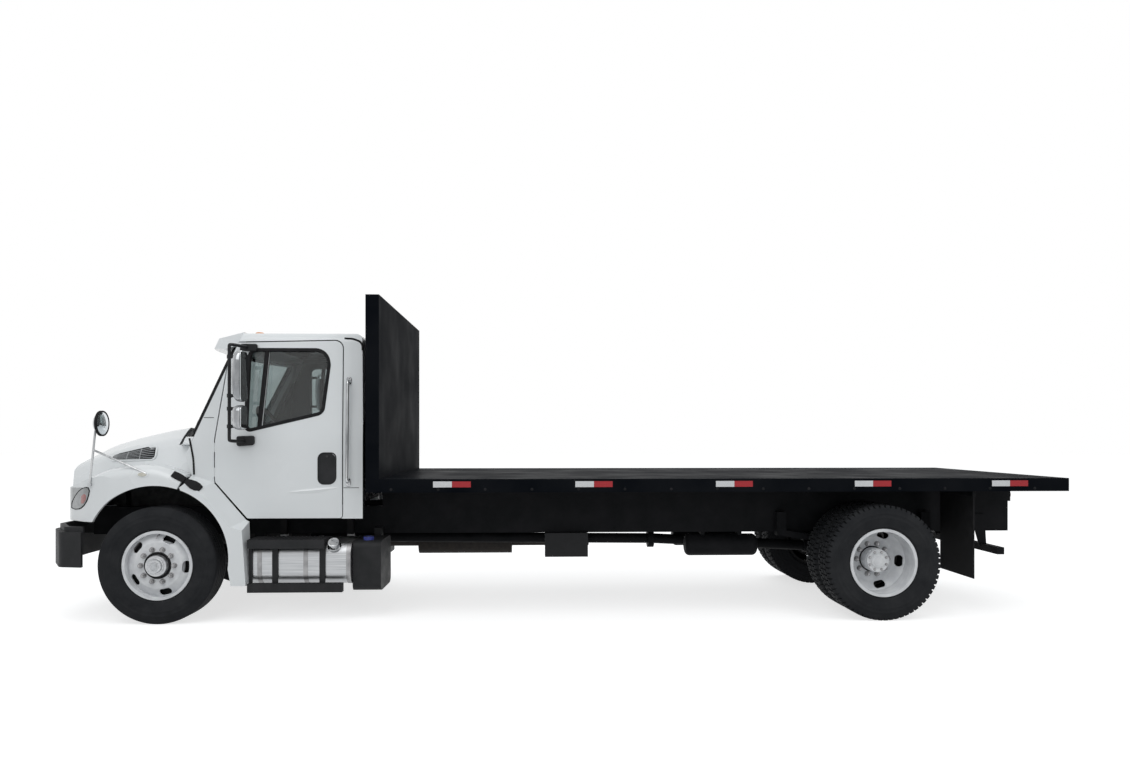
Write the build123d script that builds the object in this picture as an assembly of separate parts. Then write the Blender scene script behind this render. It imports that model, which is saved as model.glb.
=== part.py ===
# Flatbed truck with a short conventional cab, a steel platform bed and a tall headboard.
# Millimetres. +X is rearwards, +Y to the truck's right, +Z up from the ground.
# Stations along X are measured from the front axle; save() moves them so that the
# origin lies on the ground at mid length.
import os
from functools import lru_cache
from math import cos, radians, sin, sqrt, tan

from build123d import *

# Driving dimensions: layout
FRONT_OVERHANG = 1050.0
WHEELBASE = 6300.0
REAR_OVERHANG = 1647.0
LENGTH = FRONT_OVERHANG + WHEELBASE + REAR_OVERHANG
FRONT_AXLE_X = FRONT_OVERHANG - LENGTH / 2
REAR_END = WHEELBASE + REAR_OVERHANG

# Driving dimensions: wheels and tyres
TYRE_R = 506.0
TYRE_WIDTH = 276.0
TYRE_SHOULDER_R = 462.0
RIM_SEAT_R = 286.0
RIM_FLANGE_R = 299.0
RIM_WIDTH = 236.0
RIM_WALL = 12.0
DISC_OUTSET = 105.0
DISC_WALL = 14.0
FRONT_TRACK = 2030.0
REAR_TRACK = 1850.0
DUAL_SPACING = 322.0
HUB_R = 140.0
DRUM_R = 212.0
DRUM_WIDTH = 150.0
RUN_CLEARANCE = 0.4

# Driving dimensions: front axle and steering
KINGPIN_OFFSET = 120.0
KINGPIN_R = 22.0
SPINDLE_R = 38.0
STEER_ARM = 190.0
STEER_ROD_DROP = 130.0
STEER_ROD_R = 18.0
BEAM_DROP = 90.0
BEAM_HEIGHT = 96.0
BEAM_WIDTH = 96.0

# Driving dimensions: chassis frame
FRAME_HALF = 430.0
FRAME_DEPTH = 257.0
FRAME_FLANGE = 80.0
FRAME_WEB = 9.0
FRAME_TOP = 953.0
FRAME_FRONT = -FRONT_OVERHANG + 150.0
FRAME_END_GAP = 90.0
FRAME_BOTTOM = FRAME_TOP - FRAME_DEPTH
WEB_INNER = FRAME_HALF - FRAME_WEB
SPRING_WIDTH = 76.0
SPRING_Y = FRAME_HALF + 14.0 + SPRING_WIDTH / 2

# Driving dimensions: platform bed
BED_LENGTH = 6040.0
BED_WIDTH = 2438.0
BED_TOP = 1249.0
BED_RAIL_HEIGHT = 115.0
BED_RAIL_FLANGE = 62.0
BED_RAIL_WALL = 8.0
DECK_THICKNESS = 6.0
CROSSMEMBER_PITCH = 402.0
CROSSMEMBER_FLANGE = 50.0
SILL_FLANGE = 70.0
HEADBOARD_TOP = 2832.0
HEADBOARD_DEPTH = 115.0
HEADBOARD_POST = 90.0
HEADBOARD_SHEET = 5.0
BED_FRONT = REAR_END - BED_LENGTH
BED_BOTTOM = BED_TOP - BED_RAIL_HEIGHT
BED_HALF = BED_WIDTH / 2

# Driving dimensions: cab
CAB_HALF = 1040.0
CAB_ROOF_HALF = 965.0
CAB_WALL = 70.0
DOOR_LEAF = 45.0
CAB_BELT = 1585.0
CAB_REAR = 1735.0
CAB_ROOF = 2535.0
CAB_SKIRT = 896.0
CAB_FLOOR = 1040.0
CAB_FLOOR_THICKNESS = 30.0
ROOF_EDGE_R = 95.0
GLASS_BASE = (50.0, 1640.0)
GLASS_RISE = 790.0
GLASS_LEAN = 25.2
GLASS_BOW_R = 2600.0
GLASS_THICKNESS = 8.0
DOOR_GAP = 10.0
DOOR_FRONT = 455.0
DOOR_REAR = 1552.0
DOOR_STOP = 24.0
HINGE_PIN_R = 4.5

# Driving dimensions: hood
HOOD_WALL = 24.0
HOOD_SEAM = 14.0
HOOD_BOTTOM = 884.0
FENDER_HALF = 1190.0
FENDER_EDGE_R = 90.0
ARCH_R = 625.0
ARCH_RISE = 64.0
BUMPER_TOP = 843.0
HOOD_PIVOT = (-FRONT_OVERHANG + 42.0, 882.0)
HOOD_PIN_R = 10.0


def outline(points, radii=0.0):
    """Closed wire through 3D points, with one radius for each corner."""
    if isinstance(radii, (int, float)):
        radii = [radii] * len(points)
    return FilletPolyline(*points, radius=radii, close=True)


def plate_xz(points, y_low, y_high, radii=0.0):
    """Outline of (x, z) points, extruded across from y_low to y_high."""
    face = make_face(outline([(x, y_low, z) for x, z in points], radii))
    return extrude(face, amount=y_high - y_low, dir=(0, 1, 0))


def plate_xy(points, z_low, z_high, radii=0.0):
    """Outline of (x, y) points, extruded up from z_low to z_high."""
    face = make_face(outline([(x, y, z_low) for x, y in points], radii))
    return extrude(face, amount=z_high - z_low, dir=(0, 0, 1))


def plate_yz(points, x_low, x_high, radii=0.0):
    """Outline of (y, z) points, extruded rearwards from x_low to x_high."""
    face = make_face(outline([(x_low, y, z) for y, z in points], radii))
    return extrude(face, amount=x_high - x_low, dir=(1, 0, 0))


def block(x_low, x_high, y_low, y_high, z_low, z_high):
    """Box between two corners."""
    size = Box(x_high - x_low, y_high - y_low, z_high - z_low)
    return Pos((x_low + x_high) / 2, (y_low + y_high) / 2, (z_low + z_high) / 2) * size


def rod(start, end, radius):
    """Round bar between two points."""
    start = Vector(start)
    axis = Vector(end) - start
    return extrude(Plane(origin=start, z_dir=axis) * Circle(radius), amount=axis.length)


def bent_tube(points, radius, bend):
    """Round tube along straight runs joined by arcs."""
    path = FilletPolyline(*points, radius=bend)
    section = Plane(origin=path @ 0, z_dir=path % 0) * Circle(radius)
    return sweep(section, path=path)


def turned(profile, centre_x, centre_y, centre_z, radii=0.0):
    """Profile of (radius, y) points turned about an axis along Y; y runs outwards to the left."""
    face = make_face(outline([(r, 0, w) for r, w in profile], radii))
    ring = revolve(face, axis=Axis.Z)
    return Pos(centre_x, centre_y, centre_z) * Rot(90, 0, 0) * ring


def to_right(shape):
    """Mirror image of a left-hand piece, on the right-hand side."""
    return mirror(shape, about=Plane.XZ)


def both_sides(shape):
    """Left-hand piece and its mirror image."""
    return [shape, to_right(shape)]


def solids_of(pieces):
    """Flat list of the solids in one shape or in a list of shapes."""
    if not isinstance(pieces, (list, tuple)):
        pieces = [pieces]
    return [solid for piece in pieces for solid in piece.solids()]


def fuse(pieces):
    """Join a list of touching pieces."""
    joined = pieces[0]
    for piece in pieces[1:]:
        joined = joined + piece
    return joined


def save(node, pieces):
    """Write one node's solids, moved to the part's origin."""
    solids = [Pos(FRONT_AXLE_X, 0, 0) * solid for solid in solids_of(pieces)]
    shape = solids[0] if len(solids) == 1 else Compound(children=solids)
    export_step(shape, os.path.join("parts", node + ".step"))


# Chassis frame: two channel rails and the crossmembers between their webs.
FRAME_REAR = REAR_END - FRAME_END_GAP
CROSSMEMBER_DEPTH = 150.0
CROSSMEMBER_WIDTH = 70.0
CENTRE_BEARING_X = 4407.0
RADIATOR_X = -745.0
GEARBOX_END = 1010.0
REAR_SPRING_HALF = 700.0
HITCH_HOLE_R = 6.75
HITCH_SPACING_Y = 44.5
HITCH_SPACING_Z = 85.7
# Stations of the frame crossmembers' front faces
FRAME_CROSSMEMBERS = (
    FRAME_FRONT,
    RADIATOR_X,
    GEARBOX_END + 60.0,
    2700.0,
    CENTRE_BEARING_X - CROSSMEMBER_WIDTH / 2,
    WHEELBASE - REAR_SPRING_HALF,
    WHEELBASE + REAR_SPRING_HALF,
    FRAME_REAR - CROSSMEMBER_WIDTH,
)


def channel_yz(x_low, x_high, y_outer, y_inner, z_low, z_high, wall):
    """Channel along X with its web at y_outer and its flanges reaching to y_inner."""
    side = 1.0 if y_inner > y_outer else -1.0
    web = y_outer + side * wall
    points = [(y_outer, z_low), (y_inner, z_low), (y_inner, z_low + wall), (web, z_low + wall)]
    points += [(web, z_high - wall), (y_inner, z_high - wall), (y_inner, z_high), (y_outer, z_high)]
    return plate_yz(points, x_low, x_high)


def chassis_frame():
    flange_tip = FRAME_HALF - FRAME_FLANGE
    left = channel_yz(FRAME_FRONT, FRAME_REAR, -FRAME_HALF, -flange_tip, FRAME_BOTTOM, FRAME_TOP, FRAME_WEB)
    pieces = both_sides(left)
    low = FRAME_BOTTOM + FRAME_WEB
    for x in FRAME_CROSSMEMBERS:
        bar = block(x, x + CROSSMEMBER_WIDTH, -WEB_INNER, WEB_INNER, low, low + CROSSMEMBER_DEPTH)
        pieces.append(bar)
    frame = fuse(pieces)
    middle = low + CROSSMEMBER_DEPTH / 2
    for y in (-HITCH_SPACING_Y / 2, HITCH_SPACING_Y / 2):
        for z in (middle - HITCH_SPACING_Z / 2, middle + HITCH_SPACING_Z / 2):
            frame = frame - rod((FRAME_REAR - CROSSMEMBER_WIDTH, y, z), (FRAME_REAR, y, z), HITCH_HOLE_R)
    return frame


# Platform bed: sheet deck, channel rails round it, channel crossmembers on two long sills.
SILL_WALL = 8.0
CROSSMEMBER_WALL = 6.0
DECK_BOTTOM = BED_TOP - DECK_THICKNESS
SILL_FRONT = BED_FRONT - HEADBOARD_DEPTH


def bed_deck():
    return block(BED_FRONT, REAR_END, -BED_HALF, BED_HALF, DECK_BOTTOM, BED_TOP)


def bed_rails():
    tip = BED_HALF - BED_RAIL_FLANGE
    side = channel_yz(BED_FRONT, REAR_END, -BED_HALF, -tip, BED_BOTTOM, DECK_BOTTOM, BED_RAIL_WALL)
    rear_x = REAR_END - BED_RAIL_WALL
    end = block(rear_x, REAR_END, -BED_HALF, BED_HALF, BED_BOTTOM, DECK_BOTTOM)
    return fuse(both_sides(side) + [end])


def bed_sills():
    inner = FRAME_HALF - SILL_FLANGE
    sill = channel_yz(SILL_FRONT, FRAME_REAR, -FRAME_HALF, -inner, FRAME_TOP, BED_BOTTOM, SILL_WALL)
    return both_sides(sill)


def bed_crossmembers():
    """Channels across the bed, each a solid of its own."""
    pieces = []
    reach = BED_HALF - BED_RAIL_FLANGE
    first = BED_FRONT + CROSSMEMBER_FLANGE
    count = int((BED_LENGTH - 2 * CROSSMEMBER_FLANGE) // CROSSMEMBER_PITCH) + 1
    low, high, wall = BED_BOTTOM, DECK_BOTTOM, CROSSMEMBER_WALL
    for index in range(count):
        x = first + index * CROSSMEMBER_PITCH
        far = x + CROSSMEMBER_FLANGE
        points = [(x, low), (far, low), (far, low + wall), (x + wall, low + wall)]
        points += [(x + wall, high - wall), (far, high - wall), (far, high), (x, high)]
        pieces.append(plate_xz(points, -reach, reach))
    return pieces


def headboard():
    front = BED_FRONT - HEADBOARD_DEPTH
    sheet_x = BED_FRONT - HEADBOARD_SHEET
    post_y = BED_HALF - HEADBOARD_POST
    low, high = BED_BOTTOM, HEADBOARD_TOP
    pieces = [block(sheet_x, BED_FRONT, -BED_HALF, BED_HALF, low, high)]
    # Upright posts: inner edge y
    for y in (-BED_HALF, -HEADBOARD_POST / 2, post_y):
        pieces.append(block(front, sheet_x, y, y + HEADBOARD_POST, low, high))
    # Cross rails: bottom edge z
    middle = (low + high - HEADBOARD_POST) / 2
    for z in (low, middle, high - HEADBOARD_POST):
        pieces.append(block(front, sheet_x, -BED_HALF, BED_HALF, z, z + HEADBOARD_POST))
    return fuse(pieces)


# Under the bed's tail: mud flaps, rear guard and lamps.
FLAP_X = WHEELBASE + 822.0
FLAP_WIDTH = 600.0
FLAP_BOTTOM = 355.0
FLAP_THICKNESS = 10.0
GUARD_X = FRAME_REAR - 220.0
GUARD_HALF = 750.0
GUARD_LOW = 510.0
GUARD_SIZE = 66.0
GUARD_POST = 90.0
LAMP_PANEL_DEPTH = 40.0
LAMP_PANEL_LOW = 985.0
LAMP_PANEL_HIGH = 1105.0
LAMP_R = 50.0
LAMP_DEPTH = 14.0


def mud_flaps():
    outer = BED_HALF - BED_RAIL_FLANGE
    inner = outer - FLAP_WIDTH
    flap = block(FLAP_X, FLAP_X + FLAP_THICKNESS, -outer, -inner, FLAP_BOTTOM, BED_BOTTOM)
    return both_sides(flap)


def rear_guard():
    bar = block(GUARD_X - GUARD_SIZE, GUARD_X, -GUARD_HALF, GUARD_HALF, GUARD_LOW, GUARD_LOW + GUARD_SIZE)
    foot = GUARD_LOW + GUARD_SIZE / 2
    points = [(GUARD_X, foot), (GUARD_X - GUARD_SIZE, foot)]
    points += [(GUARD_X - GUARD_SIZE - GUARD_POST, FRAME_TOP - GUARD_POST)]
    points += [(GUARD_X - GUARD_SIZE + GUARD_POST / 2, FRAME_TOP - GUARD_POST)]
    post = plate_xz(points, -FRAME_HALF - 16.0, -FRAME_HALF)
    return fuse([bar] + both_sides(post))


def tail_lamps():
    x = FRAME_REAR
    panel = block(x, x + LAMP_PANEL_DEPTH - LAMP_DEPTH, -FRAME_HALF, FRAME_HALF, LAMP_PANEL_LOW, LAMP_PANEL_HIGH)
    pieces = [panel]
    face = x + LAMP_PANEL_DEPTH - LAMP_DEPTH
    middle = (LAMP_PANEL_LOW + LAMP_PANEL_HIGH) / 2
    for y in (-FRAME_HALF + 70.0, -FRAME_HALF + 190.0, FRAME_HALF - 190.0, FRAME_HALF - 70.0):
        pieces.append(rod((face, y, middle), (face + LAMP_DEPTH, y, middle), LAMP_R))
    return fuse(pieces)


# Wheels: each rim with its disc, hub and drum is one node, its tyre another.
BEAD_GAP = 0.3
NUT_RING_R = 142.9
NUT_COUNT = 10
NUT_R = 16.0
NUT_HEIGHT = 26.0
HAND_HOLE_COUNT = 5
HAND_HOLE_R = 29.0
HAND_HOLE_RING = 234.0
HAND_HOLE_SPAN = 46.0
HAND_HOLE_TURN = 68.0


def tyre(y):
    """Tyre with its middle plane at y, on the left-hand side."""
    half = TYRE_WIDTH / 2
    seat = RIM_SEAT_R + BEAD_GAP
    bead = RIM_WIDTH / 2 - RIM_WALL - BEAD_GAP
    flange = RIM_FLANGE_R + BEAD_GAP
    profile = [(seat, -bead), (flange, -bead), (TYRE_SHOULDER_R - 90.0, -half), (TYRE_SHOULDER_R, -half)]
    profile += [(TYRE_R, -half + 24.0), (TYRE_R, half - 24.0), (TYRE_SHOULDER_R, half)]
    profile += [(TYRE_SHOULDER_R - 90.0, half), (flange, bead), (seat, bead)]
    radii = [0, 12, 40, 30, 16, 16, 30, 40, 12, 0]
    return turned(profile, 0, y, TYRE_R, radii)


def rim(y, disc, hub_bore):
    """Rim, disc and hub; the disc's outer face lies at disc, measured outwards from the rim's middle."""
    half = RIM_WIDTH / 2
    seat_end = half - RIM_WALL
    inner = RIM_SEAT_R - RIM_WALL
    profile = [(inner, -half), (RIM_FLANGE_R, -half), (RIM_FLANGE_R, -seat_end), (RIM_SEAT_R, -seat_end)]
    profile += [(RIM_SEAT_R, seat_end), (RIM_FLANGE_R, seat_end), (RIM_FLANGE_R, half), (inner, half)]
    barrel = turned(profile, 0, y, TYRE_R)
    shoulder = 0.55 * disc
    plate = [(hub_bore, disc - DISC_WALL), (HUB_R + 60.0, disc - DISC_WALL)]
    plate += [(inner + 1.0, shoulder - DISC_WALL), (inner + 1.0, shoulder)]
    plate += [(HUB_R + 60.0, disc), (hub_bore, disc)]
    dish = turned(plate, 0, y, TYRE_R, [0, 20, 0, 0, 20, 0])
    for index in range(HAND_HOLE_COUNT):
        turn = HAND_HOLE_TURN + index * 360.0 / HAND_HOLE_COUNT
        slot = extrude(SlotOverall(HAND_HOLE_SPAN + 2 * HAND_HOLE_R, 2 * HAND_HOLE_R), 2 * half, both=True)
        slot = Pos(0, HAND_HOLE_RING, 0) * slot
        dish = dish - Pos(0, y, TYRE_R) * Rot(0, 90.0 - turn, 0) * Rot(90.0, 0, 0) * slot
    pieces = [barrel + dish]
    face = y - disc
    for index in range(NUT_COUNT):
        turn = radians(index * 360.0 / NUT_COUNT)
        x = NUT_RING_R * cos(turn)
        z = TYRE_R + NUT_RING_R * sin(turn)
        pieces.append(rod((x, face + 1.0, z), (x, face - NUT_HEIGHT, z), NUT_R))
    return fuse(pieces)


FRONT_WHEEL_Y = -FRONT_TRACK / 2
KINGPIN_Y = FRONT_WHEEL_Y + KINGPIN_OFFSET
DRUM_INNER = KINGPIN_OFFSET - 38.0
HUB_CAP = 62.0


def front_rim():
    """Front rim with its hub and brake drum, turning on the knuckle's spindle."""
    bore = SPINDLE_R + RUN_CLEARANCE
    wheel = rim(FRONT_WHEEL_Y, DISC_OUTSET, bore)
    back = -DRUM_INNER
    front = back + DRUM_WIDTH
    drum = [(bore, front - 30.0), (DRUM_R - 20.0, front - 30.0), (DRUM_R - 20.0, back), (DRUM_R, back)]
    drum += [(DRUM_R, front), (HUB_R, front), (HUB_R, DISC_OUTSET - 1.0), (bore, DISC_OUTSET - 1.0)]
    cap_end = DISC_OUTSET + HUB_CAP
    cap = [(0, DISC_OUTSET - 1.0), (HUB_R - 52.0, DISC_OUTSET - 1.0), (HUB_R - 52.0, cap_end - 26.0)]
    cap += [(HUB_R - 84.0, cap_end - 26.0), (HUB_R - 84.0, cap_end), (0, cap_end)]
    hub = turned(drum, 0, FRONT_WHEEL_Y, TYRE_R)
    nose = turned(cap, 0, FRONT_WHEEL_Y, TYRE_R)
    return fuse([wheel, hub, nose])


REAR_PAIR_Y = -REAR_TRACK / 2
REAR_SPINDLE_R = 52.0
REAR_HUB_LENGTH = 150.0
REAR_HUB_R = 106.0
REAR_FLANGE_R = 100.0


def rear_rims():
    """Twin rear rims, disc to disc, with the hub that passes through both."""
    bore = REAR_SPINDLE_R + RUN_CLEARANCE
    half = DUAL_SPACING / 2
    outer = rim(REAR_PAIR_Y - half, -half + DISC_WALL, bore)
    inner = mirror(rim(0, -half + DISC_WALL, bore), about=Plane.XZ)
    inner = Pos(0, REAR_PAIR_Y + half, 0) * inner
    hub_end = REAR_HUB_LENGTH
    hub = [(bore, -DRUM_WIDTH), (DRUM_R, -DRUM_WIDTH), (DRUM_R, -DISC_WALL / 2), (REAR_HUB_R, -DISC_WALL / 2)]
    hub += [(REAR_HUB_R, hub_end - 24.0), (REAR_FLANGE_R, hub_end - 24.0), (REAR_FLANGE_R, hub_end)]
    hub += [(0, hub_end), (0, hub_end - 30.0), (bore, hub_end - 30.0)]
    return Pos(WHEELBASE, 0, 0) * fuse([outer, inner, turned(hub, 0, REAR_PAIR_Y, TYRE_R)])


def rear_tyres():
    half = DUAL_SPACING / 2
    return [Pos(WHEELBASE, 0, 0) * tyre(REAR_PAIR_Y + offset_y) for offset_y in (-half, half)]


# Front axle: beam with its kingpins, two knuckles and the tie rod behind them.
EYE_R = 40.0
EYE_HALF = 52.0
LUG_GAP = 0.4
LUG_HEIGHT = 45.0
YOKE_GAP = 6.0
YOKE_THICKNESS = 24.0
ARM_HALF = 20.0
ARM_HEIGHT = 30.0
BALL_PIN_R = 12.0
ROD_END_R = 26.0
ROD_END_HALF = 16.0
LUG_TOP = EYE_HALF + LUG_GAP + LUG_HEIGHT
BEAM_LEVEL = 640.0
ROD_Z = TYRE_R - STEER_ROD_DROP
ARM_LOW = TYRE_R - LUG_TOP


def front_axle_beam():
    half = BEAM_HEIGHT / 2
    middle = TYRE_R - BEAM_DROP
    end = -KINGPIN_Y
    rise = end - EYE_R
    upper = [(-end, TYRE_R + half), (-rise, TYRE_R + half), (-BEAM_LEVEL, middle + half)]
    upper += [(BEAM_LEVEL, middle + half), (rise, TYRE_R + half), (end, TYRE_R + half)]
    lower = [(y, z - BEAM_HEIGHT) for y, z in reversed(upper)]
    pieces = [plate_yz(upper + lower, -BEAM_WIDTH / 2 + 14.0, BEAM_WIDTH / 2 - 14.0)]
    pieces.append(block(-BEAM_WIDTH / 2, BEAM_WIDTH / 2, -BEAM_LEVEL, BEAM_LEVEL, middle - half, middle + half))
    for y in (-end, end):
        pieces.append(rod((0, y, TYRE_R - EYE_HALF), (0, y, TYRE_R + EYE_HALF), EYE_R))
        pieces.append(rod((0, y, TYRE_R - LUG_TOP), (0, y, TYRE_R + LUG_TOP), KINGPIN_R))
    return fuse(pieces)


def knuckle():
    """Left knuckle: yoke round the kingpin, spindle, steering arm and its ball pin."""
    yoke_y = KINGPIN_Y - EYE_R - YOKE_GAP
    out_y = yoke_y - YOKE_THICKNESS
    low, high = TYRE_R - LUG_TOP, TYRE_R + LUG_TOP
    pieces = [block(-EYE_R, EYE_R, out_y, yoke_y, low, high)]
    for z in (low, high - LUG_HEIGHT):
        pieces.append(block(-EYE_R, EYE_R, yoke_y, KINGPIN_Y, z, z + LUG_HEIGHT))
        pieces.append(rod((0, KINGPIN_Y, z), (0, KINGPIN_Y, z + LUG_HEIGHT), EYE_R))
    spindle_end = FRONT_WHEEL_Y - DISC_OUTSET + 6.0
    pieces.append(rod((0, out_y, TYRE_R), (0, spindle_end, TYRE_R), SPINDLE_R))
    tip = STEER_ARM + BALL_PIN_R + 8.0
    pieces.append(block(0, tip, KINGPIN_Y - ARM_HALF, KINGPIN_Y + ARM_HALF, ARM_LOW, ARM_LOW + ARM_HEIGHT))
    pin_low = ROD_Z - ROD_END_HALF - 6.0
    pieces.append(rod((STEER_ARM, KINGPIN_Y, pin_low), (STEER_ARM, KINGPIN_Y, ARM_LOW), BALL_PIN_R))
    body = fuse(pieces)
    return body - rod((0, KINGPIN_Y, low), (0, KINGPIN_Y, high), KINGPIN_R + RUN_CLEARANCE)


def tie_rod():
    low, high = ROD_Z - ROD_END_HALF, ROD_Z + ROD_END_HALF
    bar = rod((STEER_ARM, KINGPIN_Y, ROD_Z), (STEER_ARM, -KINGPIN_Y, ROD_Z), STEER_ROD_R)
    pieces = [bar]
    for y in (KINGPIN_Y, -KINGPIN_Y):
        pieces.append(rod((STEER_ARM, y, low), (STEER_ARM, y, high), ROD_END_R))
    joined = fuse(pieces)
    for y in (KINGPIN_Y, -KINGPIN_Y):
        joined = joined - rod((STEER_ARM, y, low - 9.0), (STEER_ARM, y, high + 9.0), BALL_PIN_R + RUN_CLEARANCE)
    return joined


# Rear axle, leaf springs and drive line.
AXLE_TUBE_R = 70.0
BANJO_R = 195.0
PINION_LENGTH = 330.0
FRONT_SPRING_HALF = 640.0
FRONT_SPRING_Y = FRAME_HALF - SPRING_WIDTH / 2
SPRING_PACK = 60.0
SPRING_CLAMP = 10.0
CLAMP_HALF = 80.0
HANGER_HALF = 45.0
SHAFT_R = 50.0
SHAFT_Z = 585.0
BEARING_WIDTH = 60.0


def rear_axle():
    inner_end = -REAR_PAIR_Y - DRUM_WIDTH - 6.0
    spindle_end = -REAR_PAIR_Y + REAR_HUB_LENGTH - 36.0
    pieces = [Pos(WHEELBASE, 0, TYRE_R) * Sphere(BANJO_R)]
    pieces.append(rod((WHEELBASE, -inner_end, TYRE_R), (WHEELBASE, inner_end, TYRE_R), AXLE_TUBE_R))
    pieces.append(rod((WHEELBASE, -spindle_end, TYRE_R), (WHEELBASE, spindle_end, TYRE_R), REAR_SPINDLE_R))
    pinion = WHEELBASE - PINION_LENGTH
    pieces.append(rod((pinion, 0, TYRE_R), (WHEELBASE, 0, TYRE_R), AXLE_TUBE_R))
    pad_top = TYRE_R + AXLE_TUBE_R + SPRING_CLAMP
    low_y = SPRING_Y - SPRING_WIDTH / 2
    pad = block(
        WHEELBASE - CLAMP_HALF, WHEELBASE + CLAMP_HALF, -low_y - SPRING_WIDTH, -low_y, TYRE_R, pad_top
    )
    return fuse(pieces + both_sides(pad))


def leaf_spring(x, half, y, z_seat, rise):
    """Curved leaf pack on its clamp; z_seat is the clamp's underside."""
    low = z_seat + SPRING_CLAMP
    high = low + SPRING_PACK
    y_low = y - SPRING_WIDTH / 2
    edges = [
        ThreePointArc((x - half, y_low, low + rise), (x, y_low, low), (x + half, y_low, low + rise)),
        Line((x + half, y_low, low + rise), (x + half, y_low, high + rise)),
        ThreePointArc((x + half, y_low, high + rise), (x, y_low, high), (x - half, y_low, high + rise)),
        Line((x - half, y_low, high + rise), (x - half, y_low, low + rise)),
    ]
    pack = extrude(make_face(edges), amount=SPRING_WIDTH, dir=(0, 1, 0))
    clamp = block(x - CLAMP_HALF, x + CLAMP_HALF, y_low, y_low + SPRING_WIDTH, z_seat, high + SPRING_CLAMP)
    return pack + clamp


def leaf_springs():
    front_seat = TYRE_R - BEAM_DROP + BEAM_HEIGHT / 2
    rear_seat = TYRE_R + AXLE_TUBE_R + SPRING_CLAMP
    front_rise, rear_rise = 90.0, 70.0
    front = leaf_spring(0, FRONT_SPRING_HALF, -FRONT_SPRING_Y, front_seat, front_rise)
    eye_z = front_seat + SPRING_CLAMP + front_rise
    y_low = -FRONT_SPRING_Y - SPRING_WIDTH / 2
    y_high = y_low + SPRING_WIDTH
    for x in (-FRONT_SPRING_HALF, FRONT_SPRING_HALF):
        front = front + block(x - HANGER_HALF, x + HANGER_HALF, y_low, y_high, eye_z, FRAME_BOTTOM)
    rear = leaf_spring(WHEELBASE, REAR_SPRING_HALF, -SPRING_Y, rear_seat, rear_rise)
    eye_z = rear_seat + SPRING_CLAMP + rear_rise
    y_low = -SPRING_Y - SPRING_WIDTH / 2
    for x in (WHEELBASE - REAR_SPRING_HALF, WHEELBASE + REAR_SPRING_HALF):
        top = FRAME_TOP - 60.0
        rear = rear + block(x - HANGER_HALF, x + HANGER_HALF, y_low, -FRAME_HALF, eye_z, top)
    return both_sides(front) + both_sides(rear)


ENGINE_FRONT = -610.0
ENGINE_REAR = 190.0
ENGINE_HALF = 320.0
ENGINE_LOW = 560.0
ENGINE_HIGH = 1330.0
MOUNT_SIZE = 90.0
GEARBOX_LOW = 560.0
GEARBOX_HIGH = 930.0
GEARBOX_HALF = 210.0


def engine():
    pieces = [block(ENGINE_FRONT, ENGINE_REAR, -ENGINE_HALF, ENGINE_HALF, ENGINE_LOW, ENGINE_HIGH)]
    low = FRAME_BOTTOM + FRAME_WEB + 30.0
    for x in (ENGINE_FRONT + MOUNT_SIZE, ENGINE_REAR - 2 * MOUNT_SIZE):
        pieces.append(block(x, x + MOUNT_SIZE, -WEB_INNER, WEB_INNER, low, low + MOUNT_SIZE))
    return fuse(pieces)


def gearbox():
    bell_end = ENGINE_REAR + 160.0
    middle = (GEARBOX_LOW + GEARBOX_HIGH) / 2
    bell = rod((ENGINE_REAR, 0, middle), (bell_end, 0, middle), GEARBOX_HALF)
    case_end = GEARBOX_END - 180.0
    case = block(bell_end - 1.0, case_end, -GEARBOX_HALF + 30.0, GEARBOX_HALF - 30.0, GEARBOX_LOW, GEARBOX_HIGH - 40.0)
    tail = rod((case_end - 1.0, 0, SHAFT_Z + 30.0), (GEARBOX_END, 0, SHAFT_Z + 30.0), SHAFT_R + 20.0)
    return fuse([bell, case, tail])


def driveshaft():
    """Two tubes with the centre bearing's bracket, which hangs from a frame crossmember."""
    pinion = WHEELBASE - PINION_LENGTH
    front = rod((GEARBOX_END, 0, SHAFT_Z + 30.0), (CENTRE_BEARING_X, 0, SHAFT_Z), SHAFT_R)
    rear = rod((CENTRE_BEARING_X, 0, SHAFT_Z), (pinion, 0, TYRE_R), SHAFT_R)
    half = BEARING_WIDTH / 2
    low_x, high_x = CENTRE_BEARING_X - half, CENTRE_BEARING_X + half
    collar = rod((low_x, 0, SHAFT_Z), (high_x, 0, SHAFT_Z), SHAFT_R + 40.0)
    crossmember_low = FRAME_BOTTOM + FRAME_WEB
    bracket = block(low_x, high_x, -SHAFT_R, SHAFT_R, SHAFT_Z, crossmember_low)
    return fuse([front, rear, collar, bracket]) - gearbox() - rear_axle()


RADIATOR_DEPTH = 90.0
RADIATOR_HALF = 330.0
RADIATOR_TOP = 1330.0
RADIATOR_FRAME = 36.0


def radiator():
    low = FRAME_BOTTOM + FRAME_WEB + CROSSMEMBER_DEPTH
    x = RADIATOR_X
    frame = block(x, x + RADIATOR_DEPTH, -RADIATOR_HALF, RADIATOR_HALF, low, RADIATOR_TOP)
    inset = RADIATOR_FRAME
    recess = block(
        x - 1.0, x + 12.0, -RADIATOR_HALF + inset, RADIATOR_HALF - inset, low + inset, RADIATOR_TOP - inset
    )
    return frame - recess


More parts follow.
